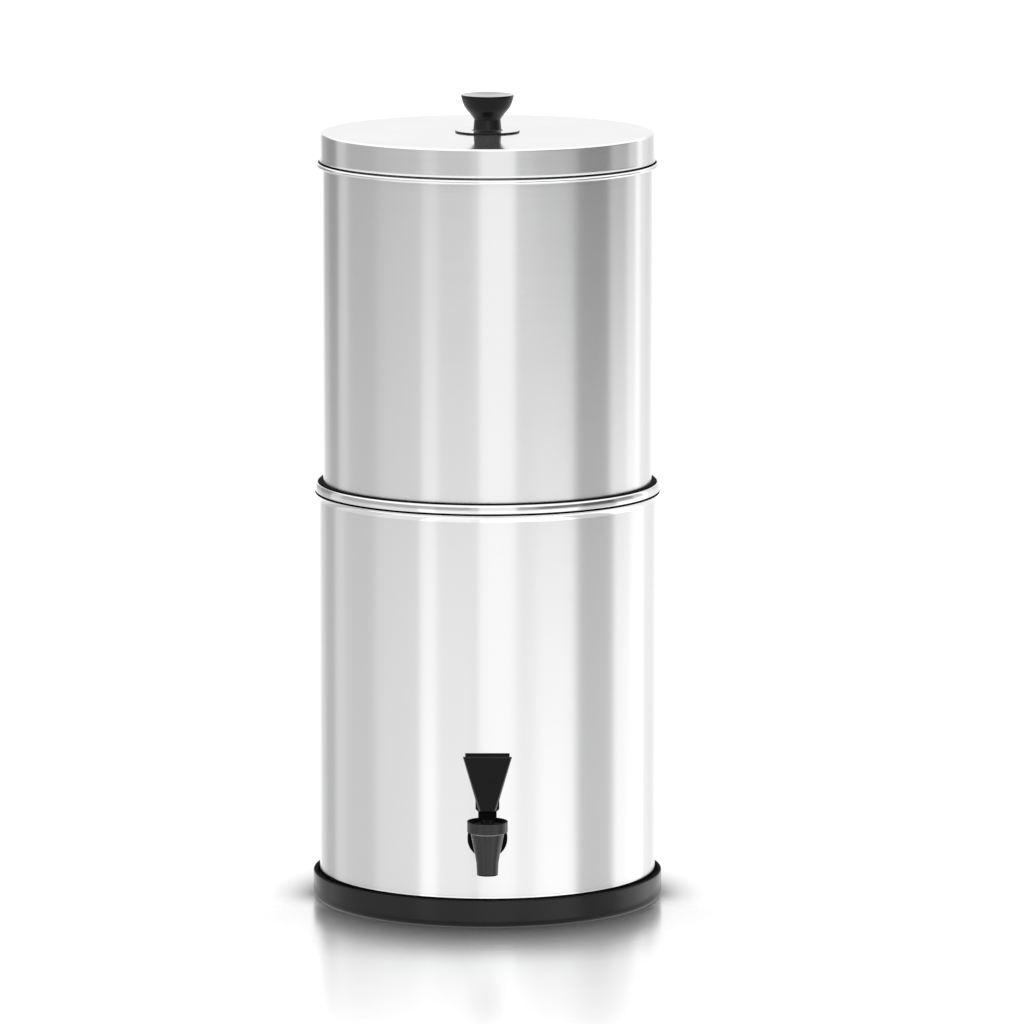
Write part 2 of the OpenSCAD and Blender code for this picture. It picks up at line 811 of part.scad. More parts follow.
module lever_pin() {
    color([0.10, 0.10, 0.10])
    translate([-fork_w / 2, tap_y, pin_z])
        rotate([0, 90, 0])
            cylinder(d = pin_d, h = fork_w);
}

// The lever's foot. Its toe is unrolled from a circle about the pin, so the pin rises evenly as the lever
// tilts and the foot stays on the bonnet's flat floor: a turn of one radian lifts the valve by cam_r.
function toe_point(turn) =
    let (reach = foot_h + cam_r * turn * PI / 180)
    [-reach * sin(turn) - cam_r * cos(turn), -reach * cos(turn) + cam_r * sin(turn)];

function fork_outline() = concat(
    [[fork_back, fork_h], [fork_back, 0], [heel_back, -foot_h]],
    [for (i = [0:toe_steps]) toe_point((lever_tilt + toe_angle) * i / toe_steps)],
    [[-fork_front, toe_top_h], [-fork_front, fork_h]]
);

module fork() {
    rotate([90, 0, 90])
        translate([0, 0, -fork_w / 2])
            linear_extrude(fork_w)
                polygon(fork_outline());
    translate([-yoke_w / 2, -fork_front, yoke_low_h])
        cube([yoke_w, fork_front + fork_back, fork_h - yoke_low_h]);
}

// The slot that the valve stem's eye stands in: open to the front only near the foot, open to the back
module fork_slot() {
    low = -foot_h - overrun;
    translate([-fork_gap / 2, -paddle_front - overrun, low])
        cube([fork_gap, 2 * paddle_front + 2 * overrun, slot_low_h - low]);
    translate([-fork_gap / 2, -slot_front, low])
        cube([fork_gap, slot_front + fork_back + overrun, slot_top_h - low]);
}

// A trapezoid in the paddle's face, w0 wide at the bottom and w1 wide at the top
module paddle_face(w0, w1, z0, z1) {
    polygon([[-w0 / 2, z0], [w0 / 2, z0], [w1 / 2, z1], [-w1 / 2, z1]]);
}

// A slab of such a trapezoid, from depth y0 to y1 behind the paddle's face
module paddle_slab(w0, w1, z0, z1, y0, y1) {
    translate([0, y1, 0])
        rotate([90, 0, 0])
            linear_extrude(y1 - y0)
                paddle_face(w0, w1, z0, z1);
}

module paddle() {
    w0 = paddle_end_w;
    w1 = paddle_top_w;
    top = paddle_l + shell_rise;
    shell_w0 = w0 - shell_inset;
    shell_w1 = w1 - 2 * shell_inset;
    hull() {
        paddle_slab(w0, w1, 0, paddle_l, plate_bevel, plate_t);
        paddle_slab(
            w0 - 2 * plate_bevel, w1 - 2 * plate_bevel, plate_bevel, paddle_l - plate_bevel,
            0, plate_bevel
        );
    }
    difference() {
        paddle_slab(shell_w0, shell_w1, 0, top, plate_t, shell_depth);
        paddle_slab(
            shell_w0 - shell_wall, shell_w1 - 2 * shell_wall, post_h, top - shell_wall,
            plate_t + overrun, shell_depth + overrun
        );
    }
    translate([-rib_t / 2, plate_t, post_h])
        cube([rib_t, rib_depth - plate_t + overrun, top - post_h - shell_wall / 2]);
}

module post() {
    half = post_w / 2;
    base = half - post_chamfer;
    translate([0, post_back, fork_h])
        rotate([90, 0, 0])
            linear_extrude(post_front + post_back)
                polygon([
                    [-base, 0], [base, 0], [half, post_chamfer],
                    [half, post_h], [-half, post_h], [-half, post_chamfer]
                ]);
}

module tap_lever() {
    color([0.06, 0.06, 0.06])
    translate([0, tap_y, pin_z])
    difference() {
        union() {
            fork();
            post();
            translate([0, -paddle_front, fork_h])
                rotate([paddle_lean, 0, 0])
                    paddle();
        }
        fork_slot();
        translate([-fork_w / 2 - overrun, 0, 0])
            rotate([0, 90, 0])
                cylinder(d = pin_d + 2 * running_gap, h = fork_w + 2 * overrun);
    }
}

base_tray();
lower_tank();
tap_body();
tap_outer_gasket();
tap_inner_gasket();
tap_nut();
tap_bonnet();
valve_stem();
seat_cup();
valve_spring();
lever_pin();
tap_lever();
upper_tank();
chamber_seal();
at_filters([-1]) filter_element();  // left_filter_element
at_filters([1]) filter_element();  // right_filter_element
at_filters([-1]) filter_cap();  // left_filter_cap
at_filters([1]) filter_cap();  // right_filter_cap
at_filters([-1]) filter_base();  // left_filter_base
at_filters([1]) filter_base();  // right_filter_base
filter_washers();
filter_wing_nuts();
lid_shell();
lid_knob();
knob_flange();
knob_insert();
knob_screw();
knob_washer();
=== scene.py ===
import math

import bmesh
import bpy
from mathutils import Matrix, Vector


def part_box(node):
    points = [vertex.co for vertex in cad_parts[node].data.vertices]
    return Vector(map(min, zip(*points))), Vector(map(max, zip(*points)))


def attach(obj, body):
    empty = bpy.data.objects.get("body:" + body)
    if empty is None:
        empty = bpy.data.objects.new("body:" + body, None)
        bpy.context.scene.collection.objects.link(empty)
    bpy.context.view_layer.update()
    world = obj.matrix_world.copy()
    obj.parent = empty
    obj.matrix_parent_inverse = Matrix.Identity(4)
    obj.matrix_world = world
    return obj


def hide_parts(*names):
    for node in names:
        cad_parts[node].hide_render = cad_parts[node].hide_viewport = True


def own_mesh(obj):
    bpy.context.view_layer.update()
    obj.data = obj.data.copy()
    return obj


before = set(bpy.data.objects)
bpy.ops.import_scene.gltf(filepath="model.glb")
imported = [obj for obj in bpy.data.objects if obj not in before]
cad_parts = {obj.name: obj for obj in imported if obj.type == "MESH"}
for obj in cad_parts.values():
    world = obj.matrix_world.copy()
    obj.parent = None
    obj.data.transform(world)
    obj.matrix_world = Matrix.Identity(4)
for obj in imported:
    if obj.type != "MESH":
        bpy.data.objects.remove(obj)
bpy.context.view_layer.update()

MM = 0.001

# Flats round a turned piece
TANK_STEPS, KNOB_STEPS, FLANGE_STEPS = 224, 176, 160
BONNET_STEPS, TAP_STEPS, BORE_STEPS = 144, 128, 96
# Angles in degrees: over which an edge shades sharp, and over which it is rounded
SHARP, LEVER_SHARP, ROUNDED_FROM = 35, 40, 20
# A face slants sideways where both parts of its normal are over this
SLANTED = 0.4

# Sizes in millimetres. Radii and heights of whole pieces are read from the frame further down.
# OVERLAP is how far joined forms reach into each other, and CUT how far cutters reach past a wall.
OVERLAP = 1.0
CUT = 4.0
HOLE_FIT = 0.25
SHEET = 0.8
CORNER = 5.0
FLOOR_RISE = 3.0
STAND_W = 9.0
KICK_RUN = 4.2

LIP_W = 2.8
LIP_ROUND = 1.18
BASE_EDGE = 4.5
BASE_FLOOR = 3.0
BASE_FIT = 0.3

RIM_OUT = 2.8
RIM_H = 6.2
RIM_W = 2.3
RIM_SHOULDER_W = 1.43
RIM_SHOULDER_H = 3.97
RIM_ROUND = 1.24
RIM_INNER_ROUND = 0.69
RIM_UNDER = -60
GROOVE_H = 0.9
GROOVE_DEEP = 1.0
COVE_H = 4.5
COVE_EDGE = 0.3
# Polished band of the wall just over the base's lip, and the run in which it starts and ends
FOOT_SHINE = 1.7
FOOT_RUN = 1.0

BEAD_OUT = 4.2
BEAD_T = 3.2
BEAD_FILLET = 0.3
STEM_HOLE_R = 6.25
NECK_H = 13.9
SWAGE_H = 3.0
SWAGE_OUT = 1.5
SEAL_FIT = 0.15
SEAL_ROUND = 0.9

LID_EDGE = 1.5
HEM_OUT = 0.8
HEM_H = 2.0
FLANGE_EDGE = 0.25
SCREW_HOLE_R = 2.75

KNOB_RIM_W = 1.4
KNOB_EDGE = 0.35
KNOB_DISH = 2.0
KNOB_NECK_R = 9.0
KNOB_NECK_H = 7.5
KNOB_FLARE = 0.5
KNOB_FILLET = 1.3
# The bell's side, in shares of its radius and height
KNOB_BELL = [
    (0.59, 0.14), (0.69, 0.27), (0.78, 0.38), (0.86, 0.50), (0.92, 0.64), (0.965, 0.78), (0.993, 0.90),
    (1.0, 0.985)
]
DISH_STEPS = 16
INSERT_R = 4.5
INSERT_L = 11.0

TAP_Z = 62.3
SHANK_R = 8.0
PASSAGE_R = 3.5
TAP_FLANGE_R = 13.5
TAP_FLANGE_T = 3.5
OUTER_GASKET_T = 2.0
TAP_EDGE = 0.4
CONE_TOP_R = 11.3
CONE_LOW_R = 8.8
CONE_DROP = 2.5
CONE_START_OUT, CONE_START_UP = 0.55, 3.0
NOZZLE_R = 7.5
NOZZLE_L = 7.5
SPOUT_R = 7.1
SPOUT_BORE_R = 4.6
SEAT_RISE = 11.9
SEAT_R = 6.8
NECK_IN_R = 8.2
NECK_OUT_R = 10.75
CHAMBER_STRAIGHT = 8.0
BONNET_RIM = 1.4
BONNET_DISH = 3.0
BONNET_DISC = 1.5
BONNET_SKIRT = 2.8
BONNET_EDGE = 0.4
BONNET_HOLE_R = 2.7

SPRING_TURNS = 5
TURN_STEPS = 40
WIRE_R = 0.35
WIRE_SIDES = 12

FORK_W = 9.2
FORK_GAP = 5.4
YOKE_W = 12.4
YOKE_LOW = 2.2
SLOT_LOW = 0.5
SLOT_TOP = 3.0
SLOT_FRONT = 3.0
FORK_H = 6.7
FORK_BACK = 3.3
FORK_FRONT = 4.6
HEEL_BACK = 2.8
FOOT_H = 3.5
CAM_R = 5.5
TOE_TOP = 0.8
TOE_TURN = 38.1
PIN_R = 1.25
POST_W = 16.0
POST_H = 7.0
POST_CHAMFER = 1.6
POST_FRONT = 6.0
POST_BACK = 4.2
PADDLE_FRONT = 8.0
PADDLE_LEAN = 8
PADDLE_L = 38.3
PADDLE_TOP_W = 33.0
PADDLE_END_W = 11.5
PLATE_T = 2.4
PLATE_BEVEL = 1.1
SHELL_INSET = 1.5
SHELL_DEPTH = 8.5
SHELL_WALL = 1.7
SHELL_RISE = 0.6
SHELL_SINK = 0.4
RIB_T = 1.4
RIB_DEPTH = 5.0
RIB_REACH = 0.8
SOFT_EDGE, FINE_EDGE, BACK_EDGE = 0.35, 0.25, 0.2


def size(name):
    """A node's largest radius, its lowest and highest point and the y of its axis, in millimetres."""
    low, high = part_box(name)
    return (high.x - low.x) / 2 / MM, low.z / MM, high.z / MM, (high.y + low.y) / 2 / MM


# ---------- shapes ----------

def arc(x, z, r, start, end, steps=8):
    """Points of an arc about (x, z), angles in degrees."""
    turns = [math.radians(start + (end - start) * i / steps) for i in range(steps + 1)]
    return [(x + r * math.cos(a), z + r * math.sin(a)) for a in turns]


def shoulder(x, z, w, h, steps=14):
    """Points of a quarter of an ellipse about (x, z), from its widest point to its highest."""
    turns = [math.pi / 2 * i / steps for i in range(steps + 1)]
    return [(x + w * math.cos(a), z + h * math.sin(a)) for a in turns]


def held(line, keep=0.4):
    """The line with points near both ends of each long straight stretch, which keeps its shading flat."""
    out = [line[0]]
    for a, b in zip(line, line[1:]):
        length = math.dist(a, b)
        if length > 5 * keep:
            for share in (keep / length, 1 - keep / length):
                out.append((a[0] + (b[0] - a[0]) * share, a[1] + (b[1] - a[1]) * share))
        out.append(b)
    return out


def smooth(points, steps=4):
    """A smooth curve through the points (Catmull-Rom)."""
    line = []
    ends = [points[0]] + list(points) + [points[-1]]
    for a, b, c, d in zip(ends, ends[1:], ends[2:], ends[3:]):
        for i in range(steps):
            t = i / steps
            line.append(tuple(
                0.5 * (
                    2 * q + (r - p) * t + (2 * p - 5 * q + 4 * r - s) * t * t
                    + (3 * q - p - 3 * r + s) * t ** 3
                )
                for p, q, r, s in zip(a, b, c, d)
            ))
    return line + [tuple(points[-1])]


def lathe(bm, runs, steps=192, place=Matrix.Identity(4)):
    """Turns a profile about the local Z axis: runs of (finish, points), each from where the last one ended."""
    turns = [2 * math.pi * i / steps for i in range(steps)]
    last = None
    for finish, points in runs:
        line = held(([last] if last else []) + list(points))
        rings = []
        for r, z in line:
            if r < 1e-6:
                rings.append([bm.verts.new(place @ Vector((0, 0, z * MM)))] * steps)
                continue
            ring = [Vector((r * math.sin(a) * MM, -r * math.cos(a) * MM, z * MM)) for a in turns]
            rings.append([bm.verts.new(place @ point) for point in ring])
        for low, high in zip(rings, rings[1:]):
            for i in range(steps):
                j = (i + 1) % steps
                corners = list(dict.fromkeys((low[i], low[j], high[j], high[i])))
                if len(corners) > 2:
                    bm.faces.new(corners).material_index = finish
        last = line[-1]


def loft(bm, loops, rounding, place=Matrix.Identity(4), ring=False, finish=0, slant=0):
    """A solid through loops of points with the same count, its sharp edges rounded.

    A ring joins the last loop to the first. Faces that slant sideways take the finish slant."""
    part = bmesh.new()
    rows = [[part.verts.new([c * MM for c in p]) for p in loop] for loop in loops]
    count = len(rows[0])
    for low, high in zip(rows, rows[1:] + ([rows[0]] if ring else [])):
        for i in range(count):
            j = (i + 1) % count
            part.faces.new((low[i], low[j], high[j], high[i]))
    if not ring:
        part.faces.new(rows[0][::-1])
        part.faces.new(rows[-1])
    bmesh.ops.recalc_face_normals(part, faces=part.faces)
    if rounding:
        sharp = [e for e in part.edges if e.calc_face_angle(0) > math.radians(ROUNDED_FROM)]
        bmesh.ops.bevel(
            part, geom=sharp, offset=rounding * MM, segments=3, profile=0.5, affect="EDGES",
            clamp_overlap=True
        )
    part.normal_update()
    for face in part.faces:
        sideways = min(abs(face.normal.x), abs(face.normal.y)) > SLANTED
        face.material_index = slant if sideways else finish
    bmesh.ops.transform(part, matrix=place, verts=part.verts)
    joined = bpy.data.meshes.new("part")
    part.to_mesh(joined)
    part.free()
    bm.from_mesh(joined)
    bpy.data.meshes.remove(joined)


def linked(name, bm, finishes):
    """The object made from bm as it is, in the scene."""
    mesh = bpy.data.meshes.new(name)
    bm.to_mesh(mesh)
    bm.free()
    for finish in finishes:
        mesh.materials.append(finish)
    made = bpy.data.objects.new(name, mesh)
    bpy.context.scene.collection.objects.link(made)
    return made


def solid(name, bm, finishes, sharp=SHARP):
    """The object made from bm, smooth but for its sharp edges."""
    bmesh.ops.remove_doubles(bm, verts=bm.verts, dist=1e-7)
    bmesh.ops.recalc_face_normals(bm, faces=bm.faces)
    made = linked(name, bm, finishes)
    shade(made, sharp)
    return made


def shade(made, sharp=SHARP):
    for face in made.data.polygons:
        face.use_smooth = True
    made.data.set_sharp_from_angle(angle=math.radians(sharp))


def carve(made, cutter, operation="DIFFERENCE", sharp=SHARP):
    """Cuts cutter out of the object, or joins it on, and removes cutter."""
    step = made.modifiers.new("carve", "BOOLEAN")
    step.operation = operation
    step.solver = "EXACT"
    step.object = cutter
    graph = bpy.context.evaluated_depsgraph_get()
    result = bpy.data.meshes.new_from_object(made.evaluated_get(graph), depsgraph=graph)
    made.modifiers.clear()
    old = made.data
    result.name = old.name
    made.data = result
    bpy.data.meshes.remove(old)
    bpy.data.objects.remove(cutter)
    shade(made, sharp)


def turned(name, runs, finishes, steps=192, centre=(0, 0), sharp=SHARP):
    """A turned piece about a vertical axis through centre."""
    bm = bmesh.new()
    lathe(bm, runs, steps, Matrix.Translation((centre[0] * MM, centre[1] * MM, 0)))
    return solid(name, bm, finishes, sharp)


def rod(r, start, end, steps=48):
    """A plain round cutter from start to end, both in millimetres."""
    a, b = Vector(start), Vector(end)
    bm = bmesh.new()
    turn = (b - a).to_track_quat("Z", "Y").to_matrix().to_4x4()
    lathe(
        bm, [(0, [(0, 0), (r, 0), (r, (b - a).length), (0, (b - a).length)])], steps,
        Matrix.Translation(a * MM) @ turn
    )
    return solid("cutter", bm, [])


def block(low, high, rounding, place):
    """A box between two corners, in millimetres."""
    bm = bmesh.new()
    loft(bm, [
        [(low[0], low[1], z), (high[0], low[1], z), (high[0], high[1], z), (low[0], high[1], z)]
        for z in (low[2], high[2])
    ], rounding, place)
    return solid("block", bm, [])


def wears(made, body, finish_slot, *nodes):
    """The piece rides on its body and stands for its CAD nodes, which it hides. finish_slot is not used."""
    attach(made, body)
    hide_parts(*nodes)
    return made


# ---------- materials ----------

def add(tree, kind, settings=None, **inputs):
    """A shader node. Each input is a link or a value, under its name or under i and its number."""
    made = tree.nodes.new("ShaderNode" + kind)
    for key, value in (settings or {}).items():
        setattr(made, key, value)
    for key, value in inputs.items():
        numbered = key[0] == "i" and key[1:].isdigit()
        socket = made.inputs[int(key[1:]) if numbered else key.replace("_", " ")]
        if isinstance(value, bpy.types.NodeSocket):
            tree.links.new(value, socket)
        else:
            socket.default_value = value
    return made


def noise(tree, place, scale, detail=2.0, rough=0.5, offset=(0, 0, 0)):
    moved = add(tree, "Mapping", Vector=place, Scale=scale, Location=offset).outputs["Vector"]
    return add(tree, "TexNoise", Vector=moved, Scale=1.0, Detail=detail, Roughness=rough).outputs["Fac"]


def span(tree, value, low, high, start=0.3, end=0.7):
    return add(
        tree, "MapRange", Value=value, From_Min=start, From_Max=end, To_Min=low, To_Max=high
    ).outputs["Result"]


def tint(tree, value, dark, light):
    mix = add(tree, "Mix", {"data_type": "RGBA"}, i0=value, i6=(*dark, 1), i7=(*light, 1))
    return mix.outputs[2]


def start(name):
    made = bpy.data.materials.new(name)
    made.use_nodes = True
    tree = made.node_tree
    return made, tree, tree.nodes["Principled BSDF"], add(tree, "TexCoord").outputs["Object"]


def bump(tree, shader, heights, normal=None):
    """Adds bumps of (height, depth in metres, strength), the coarse ones first."""
    for height, depth, strength in heights:
        made = add(tree, "Bump", Height=height, Distance=depth, Strength=strength)
        if normal:
            tree.links.new(normal, made.inputs["Normal"])
        normal = made.outputs["Normal"]
    tree.links.new(normal, shader.inputs["Normal"])


def brushed(name, dark, light, rough, rough_run, lines, spread, depth):
    """Steel brushed round its axis: lines of that many to the metre, long in the round and fine in height."""
    made, tree, shader, place = start(name)
    fine = noise(tree, place, (24, 24, lines), 3.0, 0.6)
    broad = noise(tree, place, (3, 3, lines / 9), 2.0, 0.5, (3, 1, 7))
    cloud = noise(tree, place, (7, 7, 9), 2.0, 0.5, (1, 5, 2))
    both = add(tree, "Math", {"operation": "MULTIPLY_ADD"}, i0=broad, i1=0.12, i2=fine).outputs[0]
    tree.links.new(tint(tree, span(tree, both, 0, 1, 0.5, 0.95), dark, light), shader.inputs["Base Color"])
    uneven = add(tree, "Math", {"operation": "MULTIPLY_ADD"}, i0=cloud, i1=0.5, i2=fine).outputs[0]
    dull = span(tree, uneven, rough - rough_run, rough + rough_run, 0.5, 1.0)
    tree.links.new(dull, shader.inputs["Roughness"])
    shader.inputs["Metallic"].default_value = 1.0
    shader.inputs["Anisotropic"].default_value = spread
    shader.inputs["Anisotropic Rotation"].default_value = 0.25
    round_z = add(tree, "Tangent", {"direction_type": "RADIAL", "axis": "Z"}).outputs[0]
    tree.links.new(round_z, shader.inputs["Tangent"])
    bump(tree, shader, [(fine, depth * MM, 0.4)])
    return made


def polished(name, dark, light, rough, rough_run, scratch, depth, metal=1.0):
    """Bright metal with faint wipe marks and a few hair scratches."""
    made, tree, shader, place = start(name)
    cloud = noise(tree, place, (22, 22, 22), 3.0, 0.6)
    hair = noise(tree, place, (scratch, scratch / 9, scratch / 2), 2.0, 0.7, (5, 2, 1))
    tree.links.new(tint(tree, span(tree, cloud, 0, 1), dark, light), shader.inputs["Base Color"])
    tree.links.new(span(tree, cloud, rough - rough_run, rough + rough_run), shader.inputs["Roughness"])
    shader.inputs["Metallic"].default_value = metal
    bump(tree, shader, [(hair, depth * MM, 0.2)])
    return made


def moulded(name, dark, light, rough, rough_run, grain, depth, specular=0.5, coat=0.0):
    """Moulded plastic or rubber: a fine spark-eroded grain, a slow cloudiness and uneven gloss."""
    made, tree, shader, place = start(name)
    cloud = noise(tree, place, (28, 28, 28), 3.0, 0.55)
    fine = noise(tree, place, (grain, grain, grain), 2.0, 0.6, (2, 4, 3))
    tree.links.new(tint(tree, span(tree, cloud, 0, 1), dark, light), shader.inputs["Base Color"])
    mixed = add(tree, "Math", {"operation": "MULTIPLY_ADD"}, i0=fine, i1=0.6, i2=cloud).outputs[0]
    dull = span(tree, mixed, rough - rough_run, rough + rough_run, 0.5, 1.1)
    tree.links.new(dull, shader.inputs["Roughness"])
    shader.inputs["Specular IOR Level"].default_value = specular
    shader.inputs["Coat Weight"].default_value = coat
    shader.inputs["Coat Roughness"].default_value = 0.12
    bump(tree, shader, [(cloud, 4 * depth * MM, 0.1), (fine, depth * MM, 0.35)])
    return made


def pressed_carbon(name):
    """Pressed carbon granules: cells of mixed grey, rough, with open pores between them."""
    made, tree, shader, place = start(name)
    cells = add(tree, "TexVoronoi", {"feature": "F1"}, Vector=place, Scale=1400.0)
    cloud = noise(tree, place, (60, 60, 60), 4.0, 0.6)
    grey = add(tree, "Math", {"operation": "MULTIPLY"}, i0=cells.outputs["Distance"], i1=1.3).outputs[0]
    colour = tint(tree, grey, (0.055, 0.055, 0.058), (0.012, 0.012, 0.013))
    tree.links.new(colour, shader.inputs["Base Color"])
    tree.links.new(span(tree, cloud, 0.75, 0.95), shader.inputs["Roughness"])
    bump(tree, shader, [(cloud, 0.0006, 0.3), (cells.outputs["Distance"], 0.0004, 0.8)])
    return made


def turned_brass(name):
    """Brass with turning marks and a diagonal knurl."""
    made, tree, shader, place = start(name)
    fine = noise(tree, place, (400, 400, 5200), 2.0)
    knurl = add(
        tree, "TexWave", {"wave_type": "BANDS", "bands_direction": "DIAGONAL"}, Vector=place, Scale=700.0
    ).outputs["Fac"]
    tree.links.new(tint(tree, fine, (0.62, 0.44, 0.17), (0.80, 0.62, 0.30)), shader.inputs["Base Color"])
    tree.links.new(span(tree, fine, 0.2, 0.38), shader.inputs["Roughness"])
    shader.inputs["Metallic"].default_value = 1.0
    bump(tree, shader, [(knurl, 0.0003, 0.5), (fine, 0.00005, 0.4)])
    return made


FINISH = {}
# Dark and light tint, roughness and its run, lines to the metre, anisotropy, depth of the lines in mm
for name, *look in [
    ("upper_steel", (0.748, 0.748, 0.756), (0.773, 0.773, 0.781), 0.24, 0.02, 3400, 0.9, 0.006),
    ("lower_steel", (0.768, 0.768, 0.776), (0.793, 0.793, 0.801), 0.24, 0.02, 3400, 0.9, 0.006),
    ("lid_steel", (0.722, 0.722, 0.730), (0.747, 0.747, 0.755), 0.23, 0.02, 3600, 0.9, 0.006),
]:
    FINISH[name] = brushed(name, *look)
# Dark and light tint, roughness and its run, fineness and depth of the scratches, share of metal
for name, *look in [
    ("polished_steel", (0.80, 0.80, 0.81), (0.86, 0.86, 0.87), 0.09, 0.03, 900, 0.004),
    ("lid_top", (0.80, 0.80, 0.81), (0.86, 0.86, 0.87), 0.09, 0.02, 900, 0.004, 0.95),
    ("spring_steel", (0.56, 0.56, 0.58), (0.68, 0.68, 0.70), 0.28, 0.06, 2600, 0.012),
]:
    FINISH[name] = polished(name, *look)
# Dark and light tint, roughness and its run, fineness and depth of the grain, specular level, coat
for name, *look in [
    ("black_base", (0.005, 0.005, 0.0052), (0.008, 0.008, 0.0083), 0.20, 0.03, 2600, 0.008, 0.27),
    # This matt black is the rubber of the gaskets, seal and lever, and also painted shade where it darkens the
    # rim's groove, the gaps round the tank and lid, and the tap's spout and flange.
    ("black_rubber", (0.0015, 0.0015, 0.0015), (0.003, 0.003, 0.003), 0.75, 0.06, 1800, 0.03, 0.03),
    ("red_rubber", (0.36, 0.055, 0.03), (0.45, 0.08, 0.045), 0.5, 0.08, 1700, 0.03, 0.4),
    ("clear_rubber", (0.62, 0.62, 0.60), (0.74, 0.74, 0.72), 0.35, 0.06, 1500, 0.02, 0.45),
    ("tap_black", (0.010, 0.010, 0.0105), (0.014, 0.014, 0.0145), 0.20, 0.03, 2800, 0.008, 0.4),
    ("lever_black", (0.003, 0.003, 0.0031), (0.005, 0.005, 0.0052), 0.30, 0.05, 2400, 0.015, 0.12),
    # This dark grey is a painted highlight on the paddle plate's side bevels.
    ("lever_painted_highlight", (0.05, 0.05, 0.052), (0.09, 0.09, 0.093), 0.32, 0.06, 2400, 0.015, 0.4),
    # This light grey is a painted highlight on the cone's top edge under the bonnet.
    ("tap_painted_highlight", (0.30, 0.30, 0.31), (0.42, 0.42, 0.43), 0.24, 0.05, 2800, 0.008, 0.5),
    # This black is the knob's own plastic, and painted shade on the edge of the steel flange under it.
    ("knob_black", (0.003, 0.003, 0.0031), (0.005, 0.005, 0.0052), 0.22, 0.03, 3000, 0.006, 0.17),
    ("stem_black", (0.002, 0.002, 0.002), (0.004, 0.004, 0.004), 0.5, 0.05, 2600, 0.015, 0.08),
    ("knob_neck", (0.005, 0.005, 0.0052), (0.009, 0.009, 0.0093), 0.26, 0.04, 3000, 0.01, 0.3),
    ("knob_gloss", (0.004, 0.004, 0.0042), (0.006, 0.006, 0.0063), 0.10, 0.02, 3000, 0.004, 0.6, 1.0),
    ("filter_plastic", (0.015, 0.015, 0.016), (0.026, 0.026, 0.027), 0.42, 0.07, 2000, 0.03, 0.45),
]:
    FINISH[name] = moulded(name, *look)
FINISH["carbon"] = pressed_carbon("carbon")
FINISH["brass"] = turned_brass("brass")

CARRIED_OVER = {
    "tap_outer_gasket": "black_rubber", "tap_inner_gasket": "black_rubber", "tap_nut": "tap_black",
    "valve_stem": "stem_black", "seat_cup": "clear_rubber",
    "lever_pin": "tap_black", "left_filter_element": "carbon", "right_filter_element": "carbon",
    "left_filter_cap": "filter_plastic", "right_filter_cap": "filter_plastic",
    "left_filter_base": "filter_plastic", "right_filter_base": "filter_plastic",
    "filter_washers": "red_rubber", "filter_wing_nuts": "filter_plastic",
    "knob_insert": "brass", "knob_screw": "spring_steel", "knob_washer": "spring_steel",
}
for cad_name, finish in CARRIED_OVER.items():
    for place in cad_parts[cad_name].material_slots:
        place.material = FINISH[finish]


# ---------- lower chamber ----------

base_r, base_z, base_top, _ = size("base_tray")
rim_r, tank_z, rim_z, _ = size("lower_tank")
wall_r = rim_r - RIM_OUT
lip_r = base_r - LIP_W

# The lip's inner rounding and the floor of the gap round the tank wear matt black: painted shade in the gap.
wears(turned("base_tray_dressed", [(0, (
    [(0, base_z)]
    + arc(base_r - BASE_EDGE, base_z + BASE_EDGE, BASE_EDGE, -90, 0, 10)
    + arc(base_r - LIP_ROUND, base_top - LIP_ROUND, LIP_ROUND, 0, 45, 4)
)), (1, (
    arc(base_r - LIP_ROUND, base_top - LIP_ROUND, LIP_ROUND, 50, 90, 4)
    + arc(lip_r + LIP_ROUND, base_top - LIP_ROUND, LIP_ROUND, 90, 180, 6)
    + [(wall_r + BASE_FIT, base_z + BASE_FLOOR + CORNER), (wall_r + BASE_FIT, base_z + BASE_FLOOR)]
    + [(0, base_z + BASE_FLOOR)]
))], [FINISH["black_base"], FINISH["black_rubber"]], TANK_STEPS), "lower_chamber", "black_base", "base_tray")

shoulder_z = rim_z - RIM_H - GROOVE_H
kick_r = wall_r - CORNER - STAND_W
rim_in_r = rim_r - RIM_W
cove = [
    (wall_r + RIM_OUT * (1 - math.cos(a)), shoulder_z - COVE_EDGE - COVE_H * (1 - math.sin(a)))
    for a in [math.radians(90 * i / 12) for i in range(13)]
]
skin = (
    [(0, tank_z + FLOOR_RISE), (kick_r - KICK_RUN, tank_z + FLOOR_RISE), (kick_r, tank_z)]
    + arc(wall_r - CORNER, tank_z + CORNER, CORNER, -90, 0)
    + [(wall_r, base_top - FOOT_RUN)]
)
wall = [
    (wall_r, base_top + FOOT_SHINE + FOOT_RUN), (wall_r, TAP_Z - SHANK_R), (wall_r, TAP_Z + SHANK_R),
    (wall_r, 2 * TAP_Z)
]
lining = (
    [(wall_r - SHEET, shoulder_z), (wall_r - SHEET, 2 * TAP_Z), (wall_r - SHEET, TAP_Z + SHANK_R)]
    + [(wall_r - SHEET, TAP_Z - SHANK_R), (wall_r - SHEET, tank_z + 2 * CORNER)]
    + arc(wall_r - CORNER, tank_z + CORNER, CORNER - SHEET, 0, -90)
    + [(kick_r, tank_z + SHEET), (kick_r - KICK_RUN, tank_z + FLOOR_RISE + SHEET)]
    + [(0, tank_z + FLOOR_RISE + SHEET)]
)
